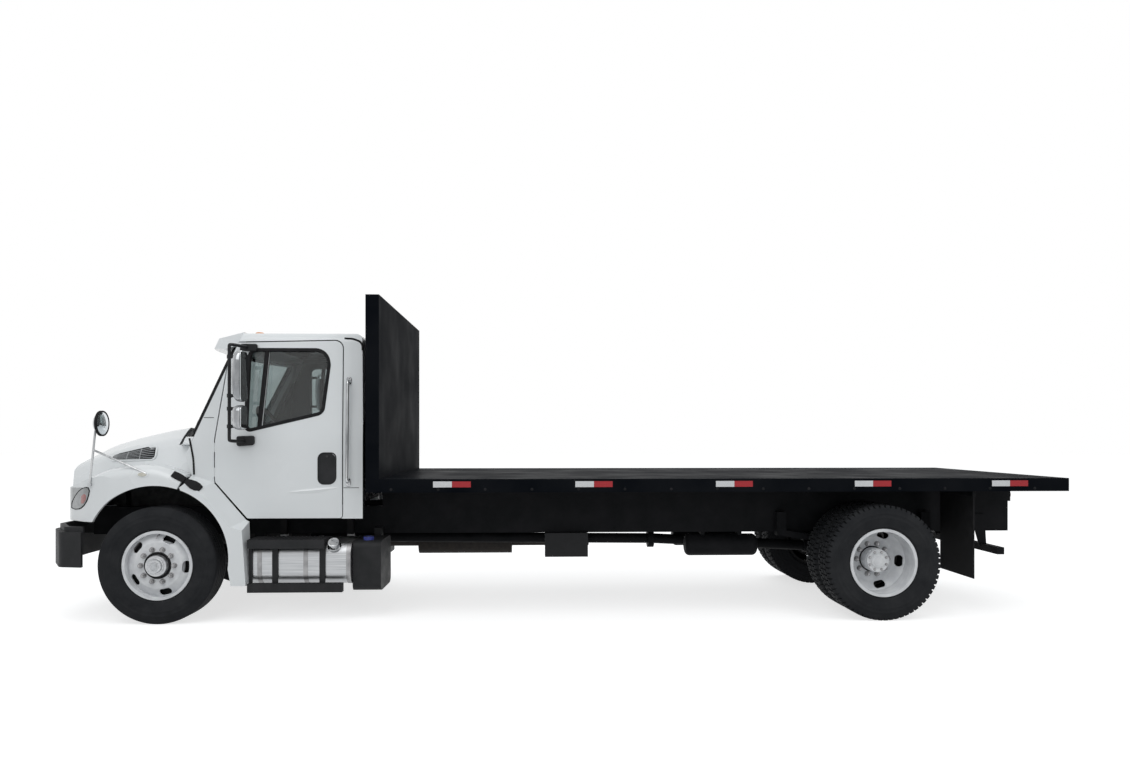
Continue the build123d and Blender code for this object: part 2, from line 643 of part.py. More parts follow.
# Cab: one form drawn at several insets gives its skin, its inner wall, the doors and the glass.
SEAM_LOW = (258.0, 1269.0)
SEAM_HIGH = (150.0, 1611.0)
COWL_SLOPE = tan(radians(GLASS_LEAN))
GLASS_FOOT_X = GLASS_BASE[0] - (GLASS_BASE[1] - SEAM_HIGH[1]) * COWL_SLOPE
GLASS_HEAD = (GLASS_BASE[0] + GLASS_RISE * COWL_SLOPE, GLASS_BASE[1] + GLASS_RISE)
ROOF_FRONT = 640.0
BELT_R = 1500.0
DOOR_SILL = 900.0
DOOR_KNEE = (730.0, 1219.0)
FITTING_GAP = 0.4
FAR = 1600.0
# Door outline: x, z, corner radius
DOOR_OUTLINE = (
    (DOOR_FRONT, DOOR_KNEE[1], 60.0),
    (DOOR_FRONT, CAB_BELT, 300.0),
    (575.0, 2440.0, 70.0),
    (DOOR_REAR - 8.0, 2462.0, 70.0),
    (DOOR_REAR, CAB_BELT, 0.0),
    (DOOR_REAR, DOOR_SILL, 25.0),
    (DOOR_KNEE[0], DOOR_SILL, 40.0),
)
# Door window outline: x, z, corner radius
WINDOW_OUTLINE = (
    (735.0, 2372.0, 70.0),
    (1400.0, 2372.0, 110.0),
    (1420.0, 2244.0, 0.0),
    (1372.0, 1828.0, 60.0),
    (722.0, 1672.0, 30.0),
)
VENT_BAR = ((816.0, 1600.0), (848.0, 1600.0), (909.0, 2420.0), (877.0, 2420.0))
GLASS_INSET = 18.0
SIDE_GLASS = 6.0
# Windshield outline: half width at foot and at head
WINDSHIELD_HALF = (800.0, 835.0)
WINDSHIELD_LOW = 1668.0
WINDSHIELD_HIGH = 2392.0
REAR_WINDOW_HALF = 720.0
REAR_WINDOW = (1760.0, 2250.0)
# Hinge pins in the door's front seam: lower end z
HINGE_PINS = (1265.0, 1480.0)
HINGE_LENGTH = 80.0
CAB_MOUNT_X = (700.0, 1560.0)
CAB_MOUNT_SIZE = 80.0


def glass_bow(radius):
    """Round bar on the axis of the windshield's bow."""
    lean = radians(GLASS_LEAN)
    along = Vector(sin(lean), 0, cos(lean))
    inward = Vector(cos(lean), 0, -sin(lean))
    centre = Vector(GLASS_BASE[0], 0, GLASS_BASE[1]) + inward * GLASS_BOW_R
    return rod(centre - along * 2 * FAR, centre + along * 2 * FAR, radius)


@lru_cache(maxsize=None)
def cab_section(inset):
    """The cab's cross-section, drawn in by an inset and run along its whole length."""
    half, roof_half, roof = CAB_HALF - inset, CAB_ROOF_HALF - inset, CAB_ROOF - inset
    section = [(-half, 0), (-half, CAB_BELT), (-roof_half, roof), (roof_half, roof), (half, CAB_BELT), (half, 0)]
    edge = ROOF_EDGE_R - inset if inset < ROOF_EDGE_R else 0.0
    return plate_yz(section, -FAR, 2 * FAR, [0, BELT_R, edge, edge, BELT_R, 0])


@lru_cache(maxsize=None)
def cab_form(inset):
    """Cab body with every outer face drawn in by the same inset."""
    points = [(SEAM_LOW[0] + 14.0, 1222.0), SEAM_LOW, SEAM_HIGH, (GLASS_FOOT_X, SEAM_HIGH[1]), GLASS_HEAD]
    points += [(ROOF_FRONT, CAB_ROOF), (CAB_REAR - 22.0, CAB_ROOF), (CAB_REAR, CAB_BELT), (CAB_REAR, CAB_SKIRT)]
    points += [(DOOR_KNEE[0] + 8.0, CAB_SKIRT), (DOOR_FRONT + 7.0, DOOR_KNEE[1] - 7.0)]
    radii = [0, 0, 0, 0, 60.0, 160.0, 80.0, 0, 0, 0, 0]
    side = make_face(outline([(x, -FAR, z) for x, z in points], radii))
    if inset:
        side = offset(side, amount=-inset, kind=Kind.INTERSECTION)
    body = extrude(side, amount=2 * FAR, dir=(0, 1, 0))
    return body & cab_section(inset) & glass_bow(GLASS_BOW_R - inset)


def side_plate(table, grow):
    """Door or window outline, grown by an even margin, through the cab's left side."""
    points = [(x, -FAR, z) for x, z, corner in table]
    face = make_face(outline(points, [corner for x, z, corner in table]))
    if grow:
        face = offset(face, amount=grow, kind=Kind.INTERSECTION)
    return extrude(face, amount=FAR * 0.75, dir=(0, 1, 0))


def windshield_plate(shrink):
    low, high = WINDSHIELD_LOW + shrink, WINDSHIELD_HIGH - shrink
    foot, head = WINDSHIELD_HALF[0] - shrink, WINDSHIELD_HALF[1] - shrink
    points = [(-foot, low), (-head, high), (head, high), (foot, low)]
    return plate_yz(points, -FAR, ROOF_FRONT + 200.0, 50.0)


def rear_window_plate(shrink, x_low, x_high):
    half = REAR_WINDOW_HALF - shrink
    low, high = REAR_WINDOW[0] + shrink, REAR_WINDOW[1] - shrink
    return plate_yz([(-half, low), (-half, high), (half, high), (half, low)], x_low, x_high, 60.0)


def cab_shell():
    floor_top = CAB_FLOOR + CAB_FLOOR_THICKNESS
    skin = cab_form(0)
    room = cab_form(CAB_WALL) & block(-FAR, 2 * FAR, -FAR, FAR, floor_top, 2 * FAR)
    under_half = CAB_HALF - CAB_WALL
    under = block(-FAR, 2 * FAR, -under_half, under_half, 0, CAB_FLOOR)
    recess = side_plate(DOOR_OUTLINE, DOOR_GAP) - cab_section(DOOR_LEAF + FITTING_GAP)
    opening = side_plate(DOOR_OUTLINE, -DOOR_STOP)
    opening = opening & block(-FAR, 2 * FAR, -FAR, FAR, floor_top, 2 * FAR)
    shell = skin - room - under - windshield_plate(0)
    shell = shell - rear_window_plate(0, CAB_REAR - 2 * CAB_WALL, CAB_REAR + CAB_WALL)
    for cut in both_sides(recess) + both_sides(opening):
        shell = shell - cut
    pieces = [shell]
    jamb = DOOR_FRONT - DOOR_GAP
    pin_x = DOOR_FRONT - DOOR_GAP / 2
    for z in HINGE_PINS:
        pin = rod((pin_x, -CAB_HALF, z), (pin_x, -CAB_HALF, z + HINGE_LENGTH), HINGE_PIN_R)
        tab = block(jamb - 1.0, pin_x, -CAB_HALF, -CAB_HALF + HINGE_PIN_R, z, z + HINGE_LENGTH)
        pieces += both_sides(pin + tab)
    half = CAB_MOUNT_SIZE / 2
    for x in CAB_MOUNT_X:
        mount = block(x - half, x + half, -FRAME_HALF, -FRAME_HALF + CAB_MOUNT_SIZE, FRAME_TOP, CAB_FLOOR + 1.0)
        pieces += both_sides(mount)
    return fuse(pieces)


def cab_glass():
    """Windshield and rear window, set in the shell."""
    inset = GLASS_INSET
    bowed = (cab_form(inset) - cab_form(inset + GLASS_THICKNESS)) & windshield_plate(FITTING_GAP)
    rear_x = CAB_REAR - inset - CAB_WALL / 2
    rear = rear_window_plate(FITTING_GAP, rear_x - SIDE_GLASS, rear_x)
    return [bowed, rear]


HANDLE_POCKET = ((1350.0, 1466.0), (1494.0, 1466.0), (1494.0, 1204.0), (1350.0, 1204.0))
HANDLE_POCKET_DEPTH = 20.0


def vent_bar():
    """Bar between the fixed and the lowering pane, through the cab's left side."""
    return plate_xz(VENT_BAR, -FAR, -FAR / 4)


def door():
    """Left door leaf with its window and handle pocket cut, and the bar between its two panes."""
    leaf = (cab_form(0) & side_plate(DOOR_OUTLINE, 0)) - cab_section(DOOR_LEAF)
    window = side_plate(WINDOW_OUTLINE, 0)
    bar = (vent_bar() & side_plate(WINDOW_OUTLINE, 4.0) & cab_section(8.0)) - cab_section(DOOR_LEAF - 8.0)
    pocket = plate_xz(HANDLE_POCKET, -FAR, -CAB_HALF + HANDLE_POCKET_DEPTH, 45.0)
    return (leaf - window - pocket) + bar


def door_glass():
    pane = side_plate(WINDOW_OUTLINE, -FITTING_GAP) & cab_section(GLASS_INSET)
    pane = pane - cab_section(GLASS_INSET + SIDE_GLASS)
    for shift in (-FITTING_GAP, FITTING_GAP):
        pane = pane - Pos(shift, 0, 0) * vent_bar()
    return pane


# Door mirrors: a bracket tube off the door with a tall flat head over a convex one.
MIRROR_TUBE_R = 14.0
MIRROR_X = 660.0
MIRROR_Y = -1262.0
MIRROR_LOW = 1575.0
MIRROR_HIGH = 2398.0
# Heads: z low, z high, depth, half width
MIRROR_HEADS = ((1905.0, 2338.0, 92.0, 96.0), (1668.0, 1880.0, 84.0, 88.0))
MIRROR_HEAD_Y = -1304.0


def roof_half_at(z):
    """Half width of the cab's side at a height above the belt."""
    return CAB_HALF - (CAB_HALF - CAB_ROOF_HALF) * (z - CAB_BELT) / (CAB_ROOF - CAB_BELT)


def door_mirror():
    foot = [(MIRROR_X + 60.0, -CAB_HALF - 10.0, MIRROR_LOW), (MIRROR_X, MIRROR_Y, MIRROR_LOW)]
    head_y = -roof_half_at(MIRROR_HIGH) - 10.0
    head = [(MIRROR_X, MIRROR_Y, MIRROR_HIGH), (MIRROR_X + 60.0, head_y, MIRROR_HIGH)]
    tube = bent_tube(foot + head, MIRROR_TUBE_R, 60.0)
    base_x = MIRROR_X + 60.0
    plates = []
    # Base plates on the door: z middle, half height, skin half width
    for z, half, skin in ((MIRROR_LOW, 45.0, CAB_HALF), (MIRROR_HIGH, 32.0, roof_half_at(MIRROR_HIGH - 32.0))):
        y = -skin - FITTING_GAP
        plates.append(block(base_x - 70.0, base_x + 80.0, y - 26.0, y, z - half, z + half))
    pieces = [tube] + plates
    for low, high, depth, half in MIRROR_HEADS:
        x = MIRROR_X + 34.0
        points = [(x, MIRROR_HEAD_Y + half * 0.55), (x + depth, MIRROR_HEAD_Y + half)]
        points += [(x + depth, MIRROR_HEAD_Y - half), (x, MIRROR_HEAD_Y - half * 0.55)]
        pieces.append(plate_xy(points, low, high, [30.0, 8.0, 8.0, 30.0]))
        middle = (low + high) / 2
        pieces.append(rod((MIRROR_X, MIRROR_Y, middle), (x + depth / 2, MIRROR_Y, middle), MIRROR_TUBE_R))
    return fuse(pieces)


# Hood: nose and both front fenders in one shell that tilts forward.
NOSE = -FRONT_OVERHANG
HOOD_TOP = 2000.0
FENDER_INNER = 540.0
# Nose sections: station x, half width at the bottom, shoulder half width, shoulder z, crown half width, crown z
NOSE_SECTIONS = (
    (NOSE - 10.0, 760.0, 560.0, 1300.0, 420.0, 1398.0),
    (-500.0, 980.0, 745.0, 1478.0, 520.0, 1583.0),
    (260.0, 1120.0, 850.0, 1612.0, 600.0, 1726.0),
)
SHOULDER_R = 150.0
CROWN_R = 260.0
# Fender crest, seen from the side: x, z, corner radius
FENDER_CREST = ((NOSE - 10.0, 1120.0, 0.0), (-700.0, 1205.0, 500.0), (-400.0, 1335.0, 400.0), (-60.0, 1388.0, 600.0))
FENDER_TAIL = (420.0, 1225.0)
# Plan of the nose and fenders: x, half width, corner radius
HOOD_PLAN = (
    (NOSE + 20.0, 0.0, 2500.0),
    (NOSE + 45.0, 560.0, 260.0),
    (-850.0, 935.0, 300.0),
    (-600.0, 1130.0, 300.0),
    (-380.0, FENDER_HALF, 300.0),
)
NOSE_LEAN = 48.0
NOSE_BROW = 1345.0
NOSE_BROW_R = 110.0
COWL_GAP = 80.0
COWL_LOW = 1540.0
SPLIT_LOW = (205.0, 1180.0)


def nose_section(row, inset, x_shift):
    x, bottom, shoulder, shoulder_z, crown, crown_z = row
    bottom, shoulder, crown = bottom - inset, shoulder - inset, crown - inset / 2
    shoulder_z, crown_z = shoulder_z - inset / 2, crown_z - inset
    low = HOOD_BOTTOM - 2 * inset
    half = [(-bottom, low), (-shoulder, shoulder_z), (-crown, crown_z)]
    points = half + [(-y, z) for y, z in reversed(half)]
    radii = [0, SHOULDER_R - inset, CROWN_R - inset]
    return make_face(outline([(x + x_shift, y, z) for y, z in points], radii + radii[::-1]))


def fender_form(inset):
    """Left fender, from the nose out to its rounded outer edge."""
    low = HOOD_BOTTOM - 2 * inset
    points = [(x, z - inset) for x, z, corner in FENDER_CREST] + [(FENDER_TAIL[0], FENDER_TAIL[1] - inset)]
    points += [(FENDER_TAIL[0], low), (NOSE - 10.0, low)]
    radii = [corner for x, z, corner in FENDER_CREST] + [0, 0, 0]
    body = plate_xz(points, -FENDER_HALF + inset, -FENDER_INNER, radii)
    outer = body.faces().sort_by(Axis.Y)[0]
    crest = [edge for edge in outer.edges() if edge.center().Z > points[0][1] and edge.length > 1.0]
    crest = [edge for edge in crest if abs(edge.tangent_at(0.5).Z) < 0.9]
    return fillet(crest, FENDER_EDGE_R - inset)


@lru_cache(maxsize=None)
def hood_form(inset):
    """Nose and fenders with every outer face drawn in by the same inset."""
    tail = 200.0 if inset else 0.0
    sections = [nose_section(row, inset, 0.0) for row in NOSE_SECTIONS]
    body = loft(sections)
    for fender in both_sides(fender_form(inset)):
        body = body + fender
    half_plan = [(x + inset, y - (inset if y else 0.0), corner) for x, y, corner in HOOD_PLAN]
    far_end = (FENDER_TAIL[0] + tail, FENDER_HALF - inset, 0.0)
    left = [(x, -y, corner) for x, y, corner in half_plan[1:]] + [(far_end[0], -far_end[1], 0.0)]
    right = [far_end] + [row for row in reversed(half_plan[1:])]
    rows = [half_plan[0]] + left + right
    plan = plate_xy([(x, y) for x, y, corner in rows], 0, HOOD_TOP, [max(c - inset, 0) for x, y, c in rows])
    low_x = NOSE + 18.0 + inset
    brow = [(low_x, 0), (low_x, HOOD_BOTTOM), (low_x + NOSE_LEAN, NOSE_BROW - inset)]
    brow += [(low_x + NOSE_LEAN + 600.0, NOSE_BROW + 330.0 - inset), (FENDER_TAIL[0] + tail, HOOD_TOP)]
    brow += [(FENDER_TAIL[0] + tail, 0)]
    profile = plate_xz(brow, -FAR, FAR, [0, 0, NOSE_BROW_R - inset, 0, 0, 0])
    return body & plan & profile


def hood_limit(gap):
    """Everything ahead of the seam between hood and cab, short of it by a gap."""
    points = [(2 * NOSE, 0), (100.0, 0), (100.0, 1000.0), (SPLIT_LOW[0] - gap / 2, SPLIT_LOW[1])]
    points += [(SEAM_LOW[0] - gap, SEAM_LOW[1]), (SEAM_HIGH[0] - gap, SEAM_HIGH[1])]
    points += [(SEAM_HIGH[0] - gap, HOOD_TOP), (2 * NOSE, HOOD_TOP)]
    return plate_xz(points, -FAR, FAR)


def cowl_clearance():
    """Room in front of the windshield's foot."""
    return glass_bow(GLASS_BOW_R + COWL_GAP) & block(-FAR, FAR, -FAR, FAR, COWL_LOW, HOOD_TOP)


def arch_cut():
    """Left wheel arch opening."""
    z = TYRE_R + ARCH_RISE
    return rod((0, -FAR, z), (0, -FENDER_INNER, z), ARCH_R)


# Grille opening: half width, z low, z high
GRILLE_HALF = 455.0
GRILLE_LOW = 930.0
GRILLE_HIGH = 1270.0
GRILLE_FRAME = 28.0
GRILLE_DEPTH = 30.0
SLAT_HEIGHT = 16.0
SLAT_PITCH = 44.0
# Headlamp outline from the side: x, z
HEADLAMP_OUTLINE = ((NOSE, 1160.0), (-569.0, 1178.0), (-624.0, 1006.0), (NOSE, 992.0))
HEADLAMP_INNER = 640.0
HEADLAMP_DEPTH = 70.0
# Side vent outline: x, z
VENT_OUTLINE = ((-580.0, 1448.0), (-190.0, 1532.0), (-178.0, 1424.0), (-572.0, 1398.0))
VENT_INNER = 560.0
VENT_SLAT = 9.0
VENT_PITCH = 20.0
HOOD_EYE_R = 20.0
# Hinge along Y: hood eye from, eye to, bracket from, bracket to
HOOD_HINGE = (330.0, 370.0, 376.0, 420.0)


def headlamp_plate(shrink):
    points = [(x, -FAR, z) for x, z in HEADLAMP_OUTLINE]
    face = offset(make_face(outline(points, [0, 40.0, 50.0, 0])), amount=-shrink, kind=Kind.INTERSECTION)
    return extrude(face, amount=FAR - HEADLAMP_INNER - shrink, dir=(0, 1, 0))


def vent_plate(shrink):
    face = make_face(outline([(x, -FAR, z) for x, z in VENT_OUTLINE], [24.0, 50.0, 50.0, 24.0]))
    if shrink:
        face = offset(face, amount=-shrink, kind=Kind.INTERSECTION)
    return extrude(face, amount=FAR - VENT_INNER, dir=(0, 1, 0))


def grille_plate(shrink):
    half, low, high = GRILLE_HALF - shrink, GRILLE_LOW + shrink, GRILLE_HIGH - shrink
    points = [(-half, low), (-half, high), (half, high), (half, low)]
    return plate_yz(points, 2 * NOSE, NOSE + 200.0, 40.0)


def hood_cuts(shape):
    """Cut an outer form to the hood's seam, cowl and wheel arches."""
    shape = (shape & hood_limit(HOOD_SEAM)) - cowl_clearance()
    for arch in both_sides(arch_cut()):
        shape = shape - arch
    return shape


def hood():
    shell = hood_cuts(hood_form(0) - hood_form(HOOD_WALL)) - grille_plate(0)
    for cut in both_sides(headlamp_plate(0)) + both_sides(vent_plate(0)):
        shell = shell - cut
    x, z = HOOD_PIVOT
    eye_low, eye_high, arm_low, arm_high = HOOD_HINGE
    eye = rod((x, -eye_low, z), (x, -eye_high, z), HOOD_EYE_R)
    room = rod((x, -arm_low + 6.0, z), (x, -arm_high - 6.0, z), HOOD_EYE_R + 12.0)
    bore = rod((x, -arm_high, z), (x, -eye_low, z), HOOD_PIN_R + RUN_CLEARANCE)
    for piece in both_sides(eye):
        shell = shell + piece
    for cut in both_sides(room) + both_sides(bore):
        shell = shell - cut
    return shell


def grille():
    """Front grille and both side vents, as frames with level slats."""
    outer, inner = hood_form(0), hood_form(GRILLE_DEPTH)
    band = outer - inner
    ring = band & (grille_plate(FITTING_GAP) - grille_plate(GRILLE_FRAME))
    core = hood_form(5.0) - inner
    bars = []
    count = int((GRILLE_HIGH - GRILLE_LOW) // SLAT_PITCH)
    for index in range(count):
        z = GRILLE_LOW + GRILLE_FRAME + index * SLAT_PITCH
        bars.append(block(2 * NOSE, NOSE + 200.0, -GRILLE_HALF, GRILLE_HALF, z, z + SLAT_HEIGHT))
    bars.append(block(2 * NOSE, NOSE + 200.0, -SLAT_HEIGHT, SLAT_HEIGHT, GRILLE_LOW, GRILLE_HIGH))
    slats = core & fuse(bars) & grille_plate(GRILLE_FRAME / 2)
    vent_ring = band & (vent_plate(FITTING_GAP) - vent_plate(VENT_SLAT + 4.0))
    low = min(z for x, z in VENT_OUTLINE)
    high = max(z for x, z in VENT_OUTLINE)
    fins = []
    for index in range(int((high - low) // VENT_PITCH) + 1):
        z = low + index * VENT_PITCH
        fins.append(block(-FAR, 0, -FAR, -VENT_INNER, z, z + VENT_SLAT))
    for x in (-450.0, -310.0):
        fins.append(block(x - VENT_SLAT, x + VENT_SLAT, -FAR, -VENT_INNER, low, high))
    vent_slats = core & fuse(fins) & vent_plate(VENT_SLAT)
    return [ring + slats] + both_sides(vent_ring + vent_slats)


def headlamps():
    lamp = (hood_form(0) - hood_form(HEADLAMP_DEPTH)) & headlamp_plate(FITTING_GAP)
    return both_sides(lamp)


# Rear pieces of the front fenders, fixed to the cab beside the doors.
# Outline from the side: x and z at the cab's skin, x and z at the outer face
QUARTER_OUTLINE = (
    (SEAM_LOW[0], 1279.0, SEAM_LOW[0], 1215.0),
    (DOOR_FRONT - 15.0, DOOR_KNEE[1], 368.0, 1150.0),
    (DOOR_KNEE[0] - 9.0, DOOR_SILL - 10.0, 636.0, 840.0),
    (752.0, 872.0, 738.0, 810.0),
    (770.0, 336.0, 770.0, 336.0),
    (644.0, 336.0, 644.0, 336.0),
    (612.0, 520.0, 612.0, 520.0),
    (300.0, 900.0, 300.0, 900.0),
    (SPLIT_LOW[0] + HOOD_SEAM / 2, SPLIT_LOW[1], SPLIT_LOW[0] + HOOD_SEAM / 2, SPLIT_LOW[1]),
)


def quarter_form(inset):
    """Left fender piece, wide at the cab's skin and drawn in towards its outer face."""
    at_skin = [(x, -CAB_HALF, z) for x, z, outer_x, outer_z in QUARTER_OUTLINE]
    at_edge = [(x, -FENDER_HALF + inset, z) for skin_x, skin_z, x, z in QUARTER_OUTLINE]
    faces = [make_face(outline(at_skin)), make_face(outline(at_edge))]
    if inset:
        faces = [offset(face, amount=-inset, kind=Kind.INTERSECTION) for face in faces]
    return loft(faces, ruled=True)


def quarter_fenders():
    piece = quarter_form(0) - quarter_form(HOOD_WALL) - arch_cut()
    return both_sides(piece)


# Front bumper, its frame horns and the brackets that carry the hood's hinge pins.
BUMPER_LOW = 500.0
BUMPER_STEP = 800.0
BUMPER_WALL = 30.0
BUMPER_LEDGE = 26.0
# Bumper plan: x, half width, corner radius
BUMPER_PLAN = ((NOSE, 300.0, 3000.0), (NOSE + 38.0, 860.0, 160.0), (-815.0, 1150.0, 90.0), (-612.0, 1186.0, 0.0))


def bumper_plan(inset, z_low, z_high):
    half = [(x + inset, y - inset, corner) for x, y, corner in BUMPER_PLAN]
    half[-1] = (BUMPER_PLAN[-1][0] + (1.0 if inset else 0.0), BUMPER_PLAN[-1][1] - inset, 0.0)
    rows = [(x, -y, corner) for x, y, corner in half] + half[::-1]
    return plate_xy([(x, y) for x, y, corner in rows], z_low, z_high, [max(c - inset, 0) for x, y, c in rows])


def front_bumper():
    main = bumper_plan(0, BUMPER_LOW, BUMPER_STEP) + bumper_plan(BUMPER_LEDGE, BUMPER_STEP, BUMPER_TOP)
    hollow = bumper_plan(BUMPER_WALL, BUMPER_LOW - 1.0, BUMPER_STEP - BUMPER_WALL)
    hollow = hollow + bumper_plan(BUMPER_LEDGE + BUMPER_WALL, BUMPER_LOW - 1.0, BUMPER_TOP + 1.0)
    horn = block(NOSE + BUMPER_WALL, FRAME_FRONT, -FRAME_HALF, -FRAME_HALF + FRAME_FLANGE, 712.0, 800.0)
    horn = horn & (bumper_plan(BUMPER_WALL / 2, 0, HOOD_TOP) + block(NOSE + 80.0, 0, -FAR, FAR, 0, FAR))
    return fuse([main - hollow] + both_sides(horn))


def hood_brackets():
    """Arms from the frame's front end to the hood's hinge pins."""
    x, z = HOOD_PIVOT
    eye_low, eye_high, arm_low, arm_high = HOOD_HINGE
    r = HOOD_EYE_R - 2.0
    points = [(x, z - r), (x, z + r), (x + 50.0, z + r), (FRAME_FRONT, FRAME_TOP), (FRAME_FRONT + 60.0, FRAME_TOP)]
    points += [(FRAME_FRONT + 60.0, 830.0), (FRAME_FRONT, 830.0)]
    arm = plate_xz(points, -arm_high, -arm_low)
    tip = rod((x, -arm_high, z), (x, -arm_low, z), r)
    pin = rod((x, -arm_high, z), (x, -eye_low, z), HOOD_PIN_R)
    return both_sides(fuse([arm, tip, pin]))


# Hood mirrors: a round convex mirror on a three-legged stalk.
# Legs, each from its foot on the hood to the stalk: foot x, y, z
STALK_HEAD = (-538.0, -1090.0, 1700.0)
STALK_FEET = ((-552.0, -1160.0, 1206.0), (-400.0, -800.0, 1352.0), (-60.0, -1190.0, 1298.0))
STALK_JOIN_Z = 1500.0
STALK_PAD_R = 15.0
HOOD_MIRROR_CENTRE = (-512.0, -1072.0, 1728.0)
STALK_R = 9.0
HOOD_MIRROR_R = 108.0
HOOD_MIRROR_DEPTH = 46.0


def hood_mirror():
    head = Vector(STALK_HEAD)
    first = Vector(STALK_FEET[0])
    pieces = [rod(first, head, STALK_R)]
    pieces.append(rod(first + Vector(0, 60.0, 0), first - Vector(0, 8.0, 0), STALK_PAD_R))
    join = first + (head - first) * ((STALK_JOIN_Z - first.Z) / (head.Z - first.Z))
    for foot in STALK_FEET[1:]:
        pieces.append(rod(foot, join, STALK_R))
    x, y, z = HOOD_MIRROR_CENTRE
    profile = [(0, 0), (HOOD_MIRROR_R, 0), (HOOD_MIRROR_R, 14.0), (HOOD_MIRROR_R - 34.0, HOOD_MIRROR_DEPTH)]
    profile += [(0, HOOD_MIRROR_DEPTH)]
    face = make_face(outline([(r, 0, -w) for r, w in profile], [0, 0, 10.0, 16.0, 0]))
    shell = revolve(face, axis=Axis.Z)
    pieces.append(Pos(x + HOOD_MIRROR_DEPTH / 2, y, z) * Rot(0, 90, 0) * shell)
    above = fuse(pieces) - hood_form(0)
    return above.solids().sort_by(SortBy.VOLUME)[-1]


# Tanks, boxes, steps and pipes slung from the frame.
TANK_FRONT = 792.0
TANK_REAR = 1640.0
TANK_OUTER = 1120.0
TANK_INNER = 490.0
TANK_LOW = 330.0
TANK_HIGH = 690.0
TANK_EDGE_R = 110.0
TANK_ARM = 60.0
TANK_ARM_LOW = 470.0
STEP_OUTER = 1180.0
STEP_THICKNESS = 76.0
UPPER_STEP = 728.0
UPPER_STEP_REAR = 1430.0
LOWER_STEP = 352.0
LOWER_STEP_REAR = 1585.0
# Step uprights: station, width
STEP_UPRIGHTS = ((778.0, 30.0), (976.0, 50.0), (1380.0, 50.0))
FILLER_X = 1500.0
FILLER_R = 48.0
FILLER_REACH = 62.0
DEF_REAR = 1893.0
DEF_LOW = 262.0
DEF_HIGH = 700.0
HANGER_STATIONS = (880.0, 1500.0)


def side_tank(x_low, x_high, z_low, z_high, corner):
    points = [(-TANK_OUTER, z_low), (-TANK_OUTER, z_high), (-TANK_INNER, z_high), (-TANK_INNER, z_low)]
    return plate_yz(points, x_low, x_high, corner)


def frame_arms(stations, top):
    """Arms from the frame's web out to a tank's inner face."""
    half = TANK_ARM / 2
    return [block(x - half, x + half, -TANK_INNER - 1.0, -FRAME_HALF, TANK_ARM_LOW, top) for x in stations]


def fuel_tank():
    tank = side_tank(TANK_FRONT, TANK_REAR, TANK_LOW, TANK_HIGH, TANK_EDGE_R)
    slant = sqrt(0.5)
    y = -TANK_OUTER + TANK_EDGE_R - TANK_EDGE_R * slant
    z = TANK_HIGH - TANK_EDGE_R + TANK_EDGE_R * slant
    reach = FILLER_REACH * slant
    sunk = 30.0
    cap = rod((FILLER_X, y + sunk, z - sunk), (FILLER_X, y - reach, z + reach), FILLER_R)
    return fuse([tank, cap] + frame_arms(HANGER_STATIONS, FRAME_BOTTOM + 160.0))


def step_frame():
    """Two treads joined by uprights, clipped to the outer face of a tank or box."""
    gap = TANK_OUTER + FITTING_GAP
    front = STEP_UPRIGHTS[0][0]
    pieces = []
    for rear, z in ((LOWER_STEP_REAR, LOWER_STEP), (UPPER_STEP_REAR, UPPER_STEP)):
        pieces.append(block(front, rear, -STEP_OUTER, -gap, z - STEP_THICKNESS, z))
    above = TANK_HIGH + FITTING_GAP
    pieces.append(block(front, UPPER_STEP_REAR, -gap - 1.0, -gap + 200.0, above, UPPER_STEP))
    for x, width in STEP_UPRIGHTS:
        pieces.append(block(x, x + width, -gap - 12.0, -gap, LOWER_STEP - STEP_THICKNESS, UPPER_STEP))
    return fuse(pieces)


def tank_steps():
    return both_sides(step_frame())


def battery_box():
    box = side_tank(TANK_FRONT, TANK_REAR, TANK_LOW, TANK_HIGH, 14.0)
    return to_right(fuse([box] + frame_arms(HANGER_STATIONS, FRAME_BOTTOM + 160.0)))


def def_tank():
    low_x = TANK_REAR + 6.0
    points = [(-TANK_OUTER + 70.0, DEF_LOW), (-TANK_OUTER + 70.0, DEF_HIGH), (-560.0, DEF_HIGH), (-560.0, DEF_LOW)]
    tank = plate_yz(points, low_x, DEF_REAR, 60.0)
    middle = (low_x + DEF_REAR) / 2
    cap = rod((middle, -TANK_OUTER + 160.0, DEF_HIGH - 2.0), (middle, -TANK_OUTER + 160.0, DEF_HIGH + 34.0), 40.0)
    arm = block(middle - 30.0, middle + 30.0, -561.0, -FRAME_HALF, DEF_HIGH - 190.0, DEF_HIGH + 60.0)
    return fuse([tank, cap, arm])


MUFFLER_X = (2050.0, 3000.0)
MUFFLER_R = 130.0
PIPE_R = 55.0
PIPE_END = 3797.0
PIPE_Y = 250.0
PIPE_Z = 540.0
UNDER_BOX_X = (3336.0, 3745.0)
UNDER_BOX_LOW = 470.0
AIR_TANK_X = (4690.0, 5390.0)
AIR_TANK_R = 105.0
AIR_TANK_Y = 300.0


def exhaust():
    """Muffler, its pipes and the straps that hang it from the frame's flange."""
    can = rod((MUFFLER_X[0], PIPE_Y, PIPE_Z), (MUFFLER_X[1], PIPE_Y, PIPE_Z), MUFFLER_R)
    pipe = rod((GEARBOX_END - 100.0, PIPE_Y, PIPE_Z), (PIPE_END, PIPE_Y, PIPE_Z), PIPE_R)
    pieces = [can, pipe]
    for x in (MUFFLER_X[0] + 120.0, MUFFLER_X[1] - 160.0):
        pieces.append(block(x, x + 40.0, PIPE_Y + 100.0, PIPE_Y + 112.0, PIPE_Z, FRAME_BOTTOM))
    return fuse(pieces)


def under_box():
    """Box slung under the left rail."""
    return block(*UNDER_BOX_X, -FRAME_HALF - 60.0, -FRAME_HALF + FRAME_FLANGE, UNDER_BOX_LOW, FRAME_BOTTOM)


